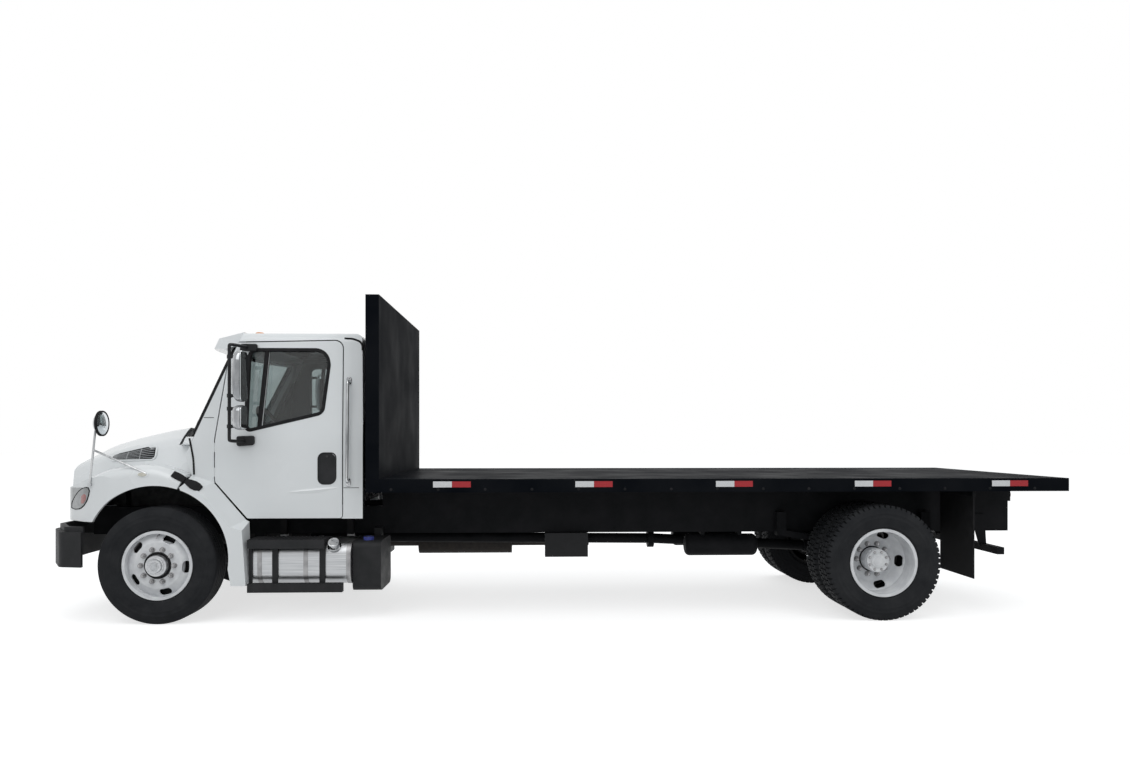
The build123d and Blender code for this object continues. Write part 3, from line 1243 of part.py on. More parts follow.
def air_tanks():
    z = FRAME_BOTTOM - AIR_TANK_R - 24.0
    pieces = []
    for y in (-AIR_TANK_Y - 70.0, AIR_TANK_Y + 70.0):
        body = rod((AIR_TANK_X[0], y, z), (AIR_TANK_X[1], y, z), AIR_TANK_R)
        ends = body.edges().filter_by(GeomType.CIRCLE)
        body = fillet(ends, AIR_TANK_R * 0.45)
        for x in (AIR_TANK_X[0] + 150.0, AIR_TANK_X[1] - 190.0):
            body = body + block(x, x + 40.0, y - 40.0, y + 40.0, z, FRAME_BOTTOM)
        pieces.append(body)
    return pieces


# Outside fittings of the cab.
GRAB_X = 1606.0
GRAB_LOW = 1215.0
GRAB_HIGH = 2105.0
GRAB_R = 13.0
GRAB_REACH = 58.0
VISOR_REACH = 160.0
VISOR_HALF = 880.0
# Visor side profile: x, z
VISOR_PROFILE = ((150.0, 2420.0), (480.0, 2500.0), (650.0, 2546.0), (650.0, 2450.0), (470.0, 2390.0))
ROOF_LAMP_X = 730.0
ROOF_LAMP_R = 42.0
ROOF_LAMP_HEIGHT = 30.0
ROOF_LAMP_Y = (-700.0, -190.0, 0.0, 190.0, 700.0)


def grab_handle():
    low_skin = -CAB_HALF - FITTING_GAP
    high_skin = -roof_half_at(GRAB_HIGH - GRAB_R) - 2 * FITTING_GAP
    points = [(GRAB_X, low_skin, GRAB_LOW), (GRAB_X, low_skin - GRAB_REACH, GRAB_LOW)]
    points += [(GRAB_X, high_skin - GRAB_REACH, GRAB_HIGH), (GRAB_X, high_skin, GRAB_HIGH)]
    return bent_tube(points, GRAB_R, 34.0)


def sun_visor():
    wedge = plate_xz(VISOR_PROFILE, -VISOR_HALF, VISOR_HALF, [0, 60.0, 0, 0, 0])
    return (wedge & glass_bow(GLASS_BOW_R + VISOR_REACH)) - cab_form(-FITTING_GAP)


def roof_lamps():
    lamps = []
    for y in ROOF_LAMP_Y:
        lamp = rod((ROOF_LAMP_X, y, CAB_ROOF), (ROOF_LAMP_X, y, CAB_ROOF + ROOF_LAMP_HEIGHT), ROOF_LAMP_R)
        top = lamp.faces().sort_by(Axis.Z)[-1].edges()
        lamps.append(fillet(top, ROOF_LAMP_HEIGHT * 0.6))
    return lamps


# Inside the cab: seats on their bases, dashboard and steering wheel.
ROOM_FLOOR = CAB_FLOOR + CAB_FLOOR_THICKNESS
SEAT_FRONT = 960.0
SEAT_REAR = 1420.0
SEAT_LOW = 1290.0
SEAT_HIGH = 1430.0
BACK_DEPTH = 130.0
BACK_TOP = 2010.0
BACK_RAKE = 90.0
# Seats: y low, y high
SEATS = ((-820.0, -300.0), (-90.0, 820.0))
WHEEL_CENTRE = (800.0, -560.0, 1700.0)
WHEEL_RING_R = 218.0
WHEEL_GRIP_R = 16.0
WHEEL_TILT = 58.0
# Dashboard side profile: x, z
DASH_PROFILE = ((200.0, 1330.0), (560.0, 1330.0), (668.0, 1480.0), (640.0, 1648.0), (420.0, 1668.0), (200.0, 1640.0))


def seats():
    pieces = []
    for y_low, y_high in SEATS:
        points = [(SEAT_FRONT, SEAT_LOW), (SEAT_FRONT, SEAT_HIGH), (SEAT_REAR - 10.0, SEAT_HIGH - 20.0)]
        points += [(SEAT_REAR + BACK_RAKE - 10.0, BACK_TOP), (SEAT_REAR + BACK_RAKE + BACK_DEPTH, BACK_TOP)]
        points += [(SEAT_REAR + BACK_DEPTH, SEAT_LOW)]
        pieces.append(plate_xz(points, y_low, y_high, [30.0, 60.0, 30.0, 60.0, 40.0, 30.0]))
    return pieces


def seat_bases():
    return [block(SEAT_FRONT + 60.0, SEAT_REAR + 40.0, y_low + 60.0, y_high - 60.0, ROOM_FLOOR, SEAT_LOW)
            for y_low, y_high in SEATS]


def dashboard():
    bar = plate_xz(DASH_PROFILE, -FAR, FAR, [0, 40.0, 60.0, 60.0, 0, 0])
    return bar & cab_form(CAB_WALL + FITTING_GAP)


def steering_wheel(dash):
    """Ring, two spokes and boss on a column that runs into the dashboard."""
    pieces = [Cylinder(62.0, 44.0)]
    for turn in (-15.0, 195.0, 90.0):
        reach = radians(turn)
        pieces.append(rod((0, 0, 0), (WHEEL_RING_R * sin(reach), WHEEL_RING_R * cos(reach), 0), 12.0))
    pieces.append(rod((0, 0, 0), (0, 0, -520.0), 36.0))
    # The ring's seam is turned away from the spokes
    pieces.append(Rot(0, 0, 40.0) * Torus(WHEEL_RING_R, WHEEL_GRIP_R))
    wheel = Pos(*WHEEL_CENTRE) * Rot(0, WHEEL_TILT, 0) * fuse(pieces)
    whole = wheel - dash
    return whole.solids().sort_by(Axis.Z)[-1]


def main():
    os.makedirs("parts", exist_ok=True)
    save("chassis_frame", fuse([chassis_frame()] + hood_brackets()))
    save("bed_deck", bed_deck())
    save("bed_rails", bed_rails())
    save("bed_sills", bed_sills())
    save("bed_crossmembers", bed_crossmembers())
    save("headboard", headboard())
    save("mud_flaps", mud_flaps())
    save("rear_guard", rear_guard())
    save("tail_lamps", tail_lamps())
    save("front_axle_beam", front_axle_beam())
    save("leaf_springs", leaf_springs())
    save("rear_axle", rear_axle())
    save("engine", engine())
    save("gearbox", gearbox())
    save("driveshaft", driveshaft())
    save("radiator", radiator())
    save("exhaust", exhaust())
    save("under_box", under_box())
    save("air_tanks", air_tanks())
    save("fuel_tank", fuel_tank())
    save("battery_box", battery_box())
    save("tank_steps", tank_steps())
    save("def_tank", def_tank())
    save("front_bumper", front_bumper())
    save("quarter_fenders", quarter_fenders())
    save("cab_shell", cab_shell())
    save("cab_glass", cab_glass())
    save("grab_handles", both_sides(grab_handle()))
    save("sun_visor", sun_visor())
    save("roof_lamps", roof_lamps())
    save("seats", seats())
    save("seat_bases", seat_bases())
    dash = dashboard()
    save("dashboard", dash)
    save("steering_wheel", steering_wheel(dash))
    save("hood", hood())
    save("grille", grille())
    save("headlamps", headlamps())
    save("hood_mirrors", both_sides(hood_mirror()))
    save("tie_rod", tie_rod())
    # Left-hand pieces and their mirror images: node stem, maker
    for stem, make in (
        ("knuckle", knuckle),
        ("front_rim", front_rim),
        ("rear_rims", rear_rims),
        ("door", door),
        ("door_glass", door_glass),
        ("door_mirror", door_mirror),
    ):
        left = make()
        save(stem + "_left", left)
        save(stem + "_right", [to_right(solid) for solid in solids_of(left)])
    for stem, left in (("front_tyre", [tyre(FRONT_WHEEL_Y)]), ("rear_tyres", rear_tyres())):
        save(stem + "_left", left)
        save(stem + "_right", [to_right(solid) for solid in left])


main()
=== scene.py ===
"""Looks of the flatbed truck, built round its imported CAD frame."""

import math

import bmesh
import bpy
import numpy
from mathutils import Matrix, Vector
from mathutils.bvhtree import BVHTree


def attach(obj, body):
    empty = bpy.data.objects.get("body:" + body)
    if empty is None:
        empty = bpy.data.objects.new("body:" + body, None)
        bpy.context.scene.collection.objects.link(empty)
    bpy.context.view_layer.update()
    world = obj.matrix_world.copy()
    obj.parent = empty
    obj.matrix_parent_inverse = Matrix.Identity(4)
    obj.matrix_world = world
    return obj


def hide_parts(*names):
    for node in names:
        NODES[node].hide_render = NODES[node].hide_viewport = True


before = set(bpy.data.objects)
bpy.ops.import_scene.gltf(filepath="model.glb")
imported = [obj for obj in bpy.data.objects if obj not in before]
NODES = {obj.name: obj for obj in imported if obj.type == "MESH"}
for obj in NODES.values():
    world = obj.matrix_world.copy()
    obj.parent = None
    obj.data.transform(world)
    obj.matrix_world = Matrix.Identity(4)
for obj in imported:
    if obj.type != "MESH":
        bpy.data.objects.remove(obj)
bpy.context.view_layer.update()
AXLE_X = -3.4485  # the front axle's station in the part's frame, metres
GLASS_LEAN = math.radians(25.2)


def at(x, y, z):
    """Point in the part's frame from millimetres behind the front axle."""
    return Vector((x / 1000.0 + AXLE_X, y / 1000.0, z / 1000.0))


# Materials


def feed(tree, node, inputs):
    """Give a node's sockets values or other nodes' outputs."""
    for socket, value in inputs.items():
        if isinstance(value, bpy.types.NodeSocket):
            tree.links.new(value, node.inputs[socket])
        else:
            node.inputs[socket].default_value = value
    return node


def add_node(tree, kind, inputs, **settings):
    """New shader node of a kind, with its settings made and its sockets fed."""
    node = tree.nodes.new("ShaderNode" + kind)
    for name, value in settings.items():
        setattr(node, name, value)
    return feed(tree, node, inputs)


def computed(tree, operation, *values):
    """Result of an operation on numbers or other nodes' outputs."""
    return add_node(tree, "Math", dict(enumerate(values)), operation=operation).outputs["Value"]


def raised(tree, height, strength, distance):
    """Give a material's shader a relief."""
    relief = add_node(tree, "Bump", {"Height": height, "Strength": strength, "Distance": distance})
    feed(tree, tree.nodes["Principled BSDF"], {"Normal": relief.outputs["Normal"]})


def surface(name, dark, light, rough, metallic=0.0, scale=6.0, stretch=(1, 1, 1), bump=0.0, bump_scale=300.0,
            coat=0.0, transmission=0.0, specular=0.5):
    """Principled material whose colour and roughness wander between two values."""
    material = bpy.data.materials.new(name)
    material.use_nodes = True
    tree = material.node_tree
    coords = add_node(tree, "TexCoord", {})
    mapping = add_node(tree, "Mapping", {"Vector": coords.outputs["Object"], "Scale": stretch})
    spot = mapping.outputs["Vector"]
    noise = add_node(tree, "TexNoise", {"Vector": spot, "Scale": scale, "Detail": 5.0}).outputs["Fac"]
    ramp = add_node(tree, "ValToRGB", {"Fac": noise})
    for element, position, colour in zip(ramp.color_ramp.elements, (0.32, 0.68), (dark, light)):
        element.position = position
        element.color = (*colour, 1)
    spread = add_node(tree, "MapRange", {"Value": noise, "From Min": 0.3, "From Max": 0.7,
                                         "To Min": rough[0], "To Max": rough[1]})
    feed(tree, tree.nodes["Principled BSDF"], {
        "Base Color": ramp.outputs["Color"], "Roughness": spread.outputs["Result"], "Metallic": metallic,
        "Coat Weight": coat, "Coat Roughness": 0.06, "Transmission Weight": transmission,
        "Specular IOR Level": specular,
    })
    if bump:
        grain = add_node(tree, "TexNoise", {"Vector": spot, "Scale": bump_scale, "Detail": 3.0})
        raised(tree, grain.outputs["Fac"], bump, 0.002)
    return material


def woven(name, dark, light, pitch):
    """Cloth with a plain weave, its threads a pitch apart in metres."""
    material = surface(name, dark, light, (0.85, 0.98), scale=9.0)
    tree = material.node_tree
    feed(tree, tree.nodes["Principled BSDF"], {"Sheen Weight": 0.3})
    threads = {"Vector": tree.nodes["Texture Coordinate"].outputs["Object"], "Scale": 0.314 / pitch / 2}
    bands = []
    for direction in "XYZ":
        bands.append(add_node(tree, "TexWave", threads, bands_direction=direction).outputs["Fac"])
    raised(tree, computed(tree, "MAXIMUM", computed(tree, "MAXIMUM", *bands[:2]), bands[2]), 0.35, 0.001)
    return material


def masked(name, source, planes, colour):
    """Copy of a material, in a dull colour where every plane's sum over x, |y| and z passes its limit; it paints
    shade on some pieces and gives others a darker colour of their own.
    """
    material = source.copy()
    material.name = name
    tree = material.node_tree
    shader = tree.nodes["Principled BSDF"]
    gloss = shader.inputs["Specular IOR Level"]
    gloss.default_value = min(0.1, gloss.default_value)
    coords = tree.nodes["Texture Coordinate"].outputs["Object"]
    split = add_node(tree, "SeparateXYZ", {"Vector": coords}).outputs
    side = computed(tree, "ABSOLUTE", split["Y"])
    spot = add_node(tree, "CombineXYZ", {"X": split["X"], "Y": side, "Z": split["Z"]}).outputs["Vector"]
    share = None
    for weights, limit in planes:
        reach = add_node(tree, "VectorMath", {0: spot, 1: weights}, operation="DOT_PRODUCT")
        past = computed(tree, "GREATER_THAN", reach.outputs["Value"], limit)
        share = computed(tree, "MULTIPLY", share, past) if share else past
    paint = shader.inputs["Base Color"].links[0].from_socket
    blend = add_node(tree, "MixRGB", {"Fac": share, "Color1": paint, "Color2": (*colour, 1)})
    feed(tree, shader, {"Base Color": blend.outputs["Color"]})
    for socket in ("Metallic", "Coat Weight"):
        full = shader.inputs[socket].default_value
        feed(tree, shader, {socket: computed(tree, "MULTIPLY_ADD", share, -full, full)})
    return material


# Name: dark colour, light colour, roughness range, further settings
M = {
    "white": surface("cab_white", (0.74, 0.765, 0.775), (0.79, 0.81, 0.82), (0.20, 0.32), scale=1.3, coat=0.5,
                     bump=0.02, bump_scale=60.0),
    "wheel": surface("wheel_white", (0.62, 0.63, 0.65), (0.77, 0.78, 0.79), (0.35, 0.55), scale=13.0,
                     coat=0.15, bump=0.05, bump_scale=220.0),
    "frame": surface("chassis_black", (0.008, 0.009, 0.010), (0.020, 0.020, 0.022), (0.42, 0.62), scale=5.0,
                     bump=0.15, bump_scale=240.0, specular=0.05),
    "bed": surface("bed_black", (0.004, 0.005, 0.007), (0.009, 0.010, 0.012), (0.36, 0.56), scale=2.2,
                   bump=0.03, bump_scale=45.0, specular=0.003),
    "plastic": surface("black_plastic", (0.012, 0.013, 0.014), (0.026, 0.026, 0.028), (0.48, 0.66), scale=8.0,
                       bump=0.22, bump_scale=900.0, specular=0.2),
    "rubber": surface("black_rubber", (0.009, 0.009, 0.010), (0.020, 0.020, 0.021), (0.62, 0.80), scale=12.0,
                      bump=0.12, bump_scale=500.0, specular=0.12),
    "tyre": surface("tyre_rubber", (0.012, 0.013, 0.015), (0.027, 0.028, 0.030), (0.66, 0.86), scale=7.0,
                    bump=0.15, bump_scale=420.0, specular=0.12),
    "aluminium": surface("brushed_aluminium", (0.36, 0.37, 0.385), (0.54, 0.55, 0.56), (0.30, 0.46), 1.0, 1.0,
                         (3.0, 140.0, 140.0), bump=0.06, bump_scale=2.0),
    "steel": surface("plain_steel", (0.22, 0.22, 0.225), (0.38, 0.38, 0.385), (0.32, 0.52), 1.0, 14.0),
    "rust": surface("dull_pipe", (0.020, 0.018, 0.017), (0.055, 0.048, 0.044), (0.55, 0.80), 0.3, 18.0,
                    bump=0.2, specular=0.2),
    "iron": surface("cast_iron", (0.025, 0.025, 0.025), (0.06, 0.06, 0.06), (0.55, 0.80), 0.1, 16.0, bump=0.3,
                    specular=0.2),
    "chrome": surface("chrome", (0.24, 0.25, 0.26), (0.62, 0.63, 0.64), (0.04, 0.12), 1.0, 11.0, (1, 1, 0.25)),
    "mirror": surface("mirror_glass", (0.70, 0.74, 0.76), (0.74, 0.78, 0.80), (0.01, 0.03), 1.0, 8.0),
    "glass": surface("window_glass", (0.42, 0.47, 0.47), (0.46, 0.51, 0.51), (0.0, 0.02), scale=4.0,
                     transmission=1.0),
    "lens": surface("clear_lens", (0.86, 0.88, 0.89), (0.92, 0.93, 0.94), (0.02, 0.06), scale=8.0,
                    transmission=0.92),
    "amber": surface("amber_lens", (0.55, 0.16, 0.005), (0.78, 0.26, 0.01), (0.1, 0.2), scale=40.0, coat=0.4),
    "red": surface("red_lens", (0.35, 0.006, 0.008), (0.52, 0.012, 0.014), (0.1, 0.2), scale=40.0, coat=0.4),
    "tape_red": surface("tape_red", (0.30, 0.004, 0.010), (0.40, 0.008, 0.016), (0.35, 0.50), scale=160.0,
                        bump=0.2, bump_scale=700.0),
    "tape_white": surface("tape_white", (0.58, 0.59, 0.60), (0.70, 0.71, 0.72), (0.25, 0.40), scale=160.0,
                          bump=0.2, bump_scale=700.0),
    "vent": surface("vent_grey", (0.30, 0.31, 0.32), (0.42, 0.43, 0.44), (0.35, 0.5), scale=40.0),
    "smoke": surface("smoked_lens", (0.16, 0.17, 0.175), (0.27, 0.28, 0.285), (0.05, 0.12), scale=22.0,
                     coat=0.8),
    "reflector": surface("lamp_reflector", (0.26, 0.045, 0.042), (0.36, 0.09, 0.08), (0.12, 0.22), scale=60.0,
                         coat=0.6),
    "pale_lens": surface("pale_lens", (0.52, 0.50, 0.42), (0.66, 0.64, 0.56), (0.08, 0.16), scale=70.0,
                         coat=0.6),
    "blue": surface("cap_blue", (0.012, 0.02, 0.16), (0.02, 0.04, 0.26), (0.35, 0.5), scale=30.0),
    "trim": surface("interior_grey", (0.030, 0.031, 0.033), (0.050, 0.051, 0.053), (0.55, 0.75), scale=10.0,
                    bump=0.2, bump_scale=1100.0),
    "cloth": woven("seat_cloth", (0.045, 0.047, 0.052), (0.075, 0.078, 0.085), 0.004),
}

# CAD nodes that take each look
NODE_LOOKS = {
    "white": ["hood", "quarter_fenders", "sun_visor"],
    "cab": ["cab_shell", "door_left", "door_right"],
    "frame": ["chassis_frame", "front_axle_beam", "knuckle_left", "knuckle_right", "tie_rod", "rear_axle",
              "leaf_springs", "driveshaft", "air_tanks", "bed_sills", "bed_crossmembers", "rear_guard",
              "tail_lamps"],
    "bed": ["bed_deck", "bed_rails", "headboard"],
    "plastic": ["front_bumper", "grille", "def_tank", "under_box", "tank_steps", "battery_box"],
    "rubber": ["mud_flaps"],
    "iron": ["engine", "gearbox", "radiator"],
    "tank": ["fuel_tank"],
    "rust": ["exhaust"],
    "chrome": ["door_mirror_left", "door_mirror_right", "hood_mirrors", "grab_handles"],
    "front_wheel": ["front_rim_left", "front_rim_right"],
    "rear_wheel": ["rear_rims_left", "rear_rims_right"],
    "tyre": ["front_tyre_left", "front_tyre_right", "rear_tyres_left", "rear_tyres_right"],
    "glass": ["cab_glass", "door_glass_left", "door_glass_right"],
    "smoke": ["headlamps"],
    "amber": ["roof_lamps"],
    "cloth": ["seats"],
    "trim": ["dashboard", "steering_wheel", "seat_bases"],
}
# Flat dark colour: painted shade inside the wheels and on the cab's back, and the dark above the tank
DARK_AND_PAINTED_SHADE = (0.012, 0.012, 0.013)
CAB_GREY = (0.055, 0.056, 0.058)
# Where a piece turns dark: inside each wheel disc (painted shade), above the tank, on the cab's back (the
# headboard's painted shadow), in metres
FRONT_DISC, REAR_DISC, TANK_TOP, CAB_BACK = 1.060, 0.925, 0.6935, 1.7315 + AXLE_X
LEAN = math.tan(GLASS_LEAN)
# Inside of the cab: the weights of x, |y| and z in each plane's sum, and the limit that it passes
CAB_INSIDE = [
    ((0, -1, 0), -1.020),  # lower sides
    ((0, -1, -0.0789), -1.1451),  # upper sides, leaning in
    ((-1, 0, -0.0232), 1.6968),  # rear wall, leaning forward
    ((0, 0, 1), 1.015),  # floor
    ((0, 0, -1), -2.470),  # roof
    ((1, 0, -LEAN), 0.30 + AXLE_X - 1.64 * LEAN),  # windshield
    ((1, 0, 0), 0.22 + AXLE_X),  # front wall
]
# Painted shade: each wheel turns dark inside its disc, where the barrel lies in shade
M["front_wheel"] = masked("front_wheel_white_painted_shade", M["wheel"], [((0, -1, 0), -FRONT_DISC)], DARK_AND_PAINTED_SHADE)
M["rear_wheel"] = masked("rear_wheel_white_painted_shade", M["wheel"], [((0, -1, 0), -REAR_DISC)], DARK_AND_PAINTED_SHADE)
M["tank"] = masked("tank_aluminium", M["aluminium"], [((0, 0, 1), TANK_TOP)], DARK_AND_PAINTED_SHADE)
# Painted shade: the cab's back wall, in the headboard's shadow, turns dark; the cab's material carries it on
painted_shade_back = masked("cab_back_painted_shade", M["white"], [((1, 0, 0), CAB_BACK)], DARK_AND_PAINTED_SHADE)
M["cab"] = masked("cab_white", painted_shade_back, CAB_INSIDE, CAB_GREY)
for look, stems in NODE_LOOKS.items():
    for stem in stems:
        mesh = NODES[stem].data
        mesh.materials.clear()
        mesh.materials.append(M[look])


# Forms: each gives vertices and faces in millimetres behind the front axle


class Shape:
    """Vertices and faces gathered from several forms."""

    def __init__(self, *forms):
        self.verts = []
        self.faces = []
        for form in forms:
            self.add(form)

    def add(self, form):
        verts, faces = form
        base = len(self.verts)
        self.verts += [Vector(v) for v in verts]
        self.faces += [tuple(base + i for i in face) for face in faces]
        return self

    def flipped(self):
        """Mirror image on the truck's other side."""
        other = Shape()
        other.verts = [Vector((v.x, -v.y, v.z)) for v in self.verts]
        other.faces = [tuple(reversed(face)) for face in self.faces]
        return other

    def joined(self, other):
        return Shape((self.verts, self.faces), (other.verts, other.faces))


def loft(rows, ring=False):
    """Skin over rows of points, each a closed loop; a ring joins its last row to its first, others are closed."""
    count, total = len(rows[0]), len(rows)
    verts = [point for row in rows for point in row]
    faces = []
    for i in range(total if ring else total - 1):
        following = (i + 1) % total
        for j in range(count):
            k = (j + 1) % count
            faces.append((i * count + j, i * count + k, following * count + k, following * count + j))
    if not ring:
        faces.append(tuple(reversed(range(count))))
        faces.append(tuple((total - 1) * count + j for j in range(count)))
    return verts, faces


def place(axis, centre):
    """Map from radius, turn and distance to a point: backwards on X, outwards to the left on Y, up on Z."""
    cx, cy, cz = centre
    if axis == "Y":
        return lambda r, turn, w: (cx + r * math.cos(turn), cy - w, cz + r * math.sin(turn))
    if axis == "X":
        return lambda r, turn, w: (cx + w, cy + r * math.cos(turn), cz + r * math.sin(turn))
    return lambda r, turn, w: (cx + r * math.cos(turn), cy + r * math.sin(turn), cz + w)


def turns(count, shift=0.0):
    """Angles of even steps right round, the first moved on by a share of a step."""
    return [2 * math.pi * (i + shift) / count for i in range(count)]


def shares(steps):
    """Even shares from 0 to 1."""
    return [k / steps for k in range(steps + 1)]


def lathe(profile, axis, centre, segments):
    """Closed profile of radius and distance along the axis, turned right round."""
    put = place(axis, centre)
    return loft([[put(r, turn, w) for r, w in profile] for turn in turns(segments)], True)


def cap(profile, axis, centre, segments):
    """Round form whose profile runs from its rim to the axis; both ends are closed."""
    put = place(axis, centre)
    return loft([[put(max(r, 0.02), turn, w) for turn in turns(segments)] for r, w in profile])


def rounded(points, radii, steps=6):
    """Outline of 2D points with its corners rounded."""
    if isinstance(radii, (int, float)):
        radii = [radii] * len(points)
    out = []
    total = len(points)
    for i, radius in enumerate(radii):
        here = Vector(points[i])
        before = (Vector(points[i - 1]) - here).normalized()
        after = (Vector(points[(i + 1) % total]) - here).normalized()
        if radius <= 0:
            out.append(tuple(here))
            continue
        half = math.acos(max(-1, min(1, before.dot(after)))) / 2
        reach = radius / math.tan(half)
        centre = here + (before + after).normalized() * (radius / math.sin(half))
        start, end = here + before * reach - centre, here + after * reach - centre
        a, b = math.atan2(start.y, start.x), math.atan2(end.y, end.x)
        turn = (b - a + math.pi) % (2 * math.pi) - math.pi
        for k in range(steps + 1):
            angle = a + turn * k / steps
            out.append((centre.x + radius * math.cos(angle), centre.y + radius * math.sin(angle)))
    return out


def oblong(u, v, radius, steps):
    """Rounded rectangle about the origin, from its half sizes."""
    return rounded([(-u, -v), (u, -v), (u, v), (-u, v)], radius, steps)


def circle(radius, count, start=0.0):
    """Even points on a circle, the first at the start's angle."""
    return [(radius * math.cos(start + turn), radius * math.sin(start + turn)) for turn in turns(count)]


def anticlockwise(points):
    """Whether an outline runs anticlockwise."""
    area = sum(points[i - 1][0] * points[i][1] - points[i][0] * points[i - 1][1] for i in range(len(points)))
    return area > 0


def inset(points, amount):
    """Outline drawn in by an amount along its corners' normals."""
    total = len(points)
    sign = 1.0 if anticlockwise(points) else -1.0
    out = []
    for i in range(total):
        before = (Vector(points[i]) - Vector(points[i - 1])).normalized()
        after = (Vector(points[(i + 1) % total]) - Vector(points[i])).normalized()
        normal = Vector((-(before.y + after.y), before.x + after.x))
        if normal.length < 1e-6:
            normal = Vector((-before.y, before.x))
        normal.normalize()
        spread = max(0.5, normal.dot(Vector((-before.y, before.x))))
        moved = Vector(points[i]) + normal * (sign * amount / spread)
        out.append(tuple(moved))
    return out


def slab(points, low, high, put, edge=1.0):
    """Outline run from low to high with its edges broken; put maps u, v and the depth to a point."""
    small = inset(points, edge)
    step = edge if high > low else -edge
    rings = ((small, low), (points, low + step), (points, high - step), (small, high))
    return loft([[put(u, v, d) for u, v in ring] for ring, d in rings])


def on_x(x, y=0.0, z=0.0):
    """Map for a slab that faces backwards."""
    return lambda u, v, d: (x + d, y + u, z + v)


def on_y(x, y, z):
    """Map for a slab that faces left."""
    return lambda u, v, d: (x + u, y - d, z + v)


def bar(x0, x1, y0, y1, z0, z1, edge=2.0):
    """Rectangular bar with broken edges."""
    outline = [(y0, z0), (y1, z0), (y1, z1), (y0, z1)]
    return slab(outline, x0, x1, lambda u, v, d: (d, u, v), edge)


def smooth_path(points, steps=6):
    """Points on a smooth line through the given ones."""
    points = [Vector(p) for p in points]
    ends = [points[0] * 2 - points[1]] + points + [points[-1] * 2 - points[-2]]
    out = []
    for i in range(1, len(ends) - 2):
        a, b, c, d = ends[i - 1:i + 3]
        for k in range(steps):
            t = k / steps
            out.append(0.5 * ((2 * b) + (c - a) * t + (2 * a - 5 * b + 4 * c - d) * t * t
                              + (3 * b - a - 3 * c + d) * t ** 3))
    out.append(points[-1])
    return out


def tube(points, radius, sides=12, smooth=0):
    """Round bar along a line of points."""
    path = smooth_path(points, smooth) if smooth else [Vector(p) for p in points]
    rows = []
    normal = None
    for i, here in enumerate(path):
        ahead = path[min(i + 1, len(path) - 1)] - path[max(i - 1, 0)]
        ahead.normalize()
        if normal is None:
            normal = ahead.orthogonal()
        normal = (normal - ahead * normal.dot(ahead)).normalized()
        across = ahead.cross(normal)
        rows.append([tuple(here + (normal * math.cos(turn) + across * math.sin(turn)) * radius)
                     for turn in turns(sides)])
    return loft(rows)


def drawn_out(value, power):
    """Sine or cosine moved towards its limits, for rounded blocks."""
    return math.copysign(abs(value) ** power, value)


def pillow(centre, half, power, rows, columns, front):
    """Rounded block; front is the half depth of its forward side."""
    loops = []
    for i in range(1, rows):
        lift = -math.pi / 2 + math.pi * i / rows
        wide, tall = drawn_out(math.cos(lift), power), drawn_out(math.sin(lift), power)
        ring = []
        for turn in turns(columns):
            x, y = wide * drawn_out(math.cos(turn), power), wide * drawn_out(math.sin(turn), power)
            depth = front if x < 0 else half[0]
            ring.append((centre[0] + depth * x, centre[1] + half[1] * y, centre[2] + half[2] * tall))
        loops.append(ring)
    return loft(loops)


def linked(name, data):
    """New object in the scene."""
    obj = bpy.data.objects.new(name, data)
    bpy.context.scene.collection.objects.link(obj)
    return obj


def make(name, shape, look, body, sharp=32.0):
    """Object from a shape, riding on a body."""
    mesh = bpy.data.meshes.new(name)
    mesh.from_pydata([at(*v) for v in shape.verts], [], shape.faces)
    editable = bmesh.new()
    editable.from_mesh(mesh)
    bmesh.ops.recalc_face_normals(editable, faces=editable.faces)
    editable.to_mesh(mesh)
    editable.free()
    mesh.materials.append(M[look])
    mesh.shade_smooth()
    mesh.set_sharp_from_angle(angle=math.radians(sharp))
    obj = linked(name, mesh)
    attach(obj, body)
    return obj


def make_pair(name, shape, look, body, node=None):
    """Left-hand object and its mirror image, each on its side's body and standing for its side's node."""
    for side, half in (("_left", shape), ("_right", shape.flipped())):
        obj = make(name + side, half, look, body + side)
        if node:
            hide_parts(node + side)


def both(shape):
    """Shape with its mirror image."""
    return shape.joined(shape.flipped())


# Tyres
TYRE_R = 506.0
FRONT_Y, REAR_Y, DUAL_HALF, WHEELBASE = -1015.0, -925.0, 161.0, 6300.0
# Sidewall from the bead outwards: radius, distance from the middle
SIDEWALL = [(286.6, 105.4), (299.6, 105.4), (306, 112), (316, 121), (320, 125.6), (326, 125.8), (345, 131.5),
            (372, 136.5), (394, 138), (396, 139), (401, 139), (403, 138), (430, 137.4), (432, 138.4),
            (437, 138.2), (439, 137), (455, 135), (470, 131.5), (482, 127.5)]
FRONT_SHOULDER = [(490, 123.5), (493, 123.2), (494.5, 121), (499, 118), (503, 113.5), (505, 108)]
# Front grooves: distance from the middle of their near edges
FRONT_GROOVES = (17.0, 57.0)
RIB_R, GROOVE_WIDTH, GROOVE_DEPTH = 505.8, 11.0, 13.0


def front_profile():
    """Section of a ribbed tyre: radius, distance from the middle."""
    half = SIDEWALL + FRONT_SHOULDER
    floor_r = RIB_R - GROOVE_DEPTH
    for edge in reversed(FRONT_GROOVES):
        far = edge + GROOVE_WIDTH
        half = half + [(RIB_R, far), (floor_r, far - 1.5), (floor_r, edge + 1.5), (RIB_R + 0.1, edge)]
    return half + [(r, -w) for r, w in reversed(half)]


def front_tyre():
    return lathe(front_profile(), "Y", (0, FRONT_Y, TYRE_R), 144)


LUG_COUNT = 64
# Turns within one lug pitch, with the states of the shoulder row and of the inner row
LUG_STATES = ((0.00, 1, 1), (0.20, 1, 1), (0.25, 1, 0), (0.45, 1, 0),
              (0.50, 1, 1), (0.70, 1, 1), (0.75, 0, 1), (0.95, 0, 1))


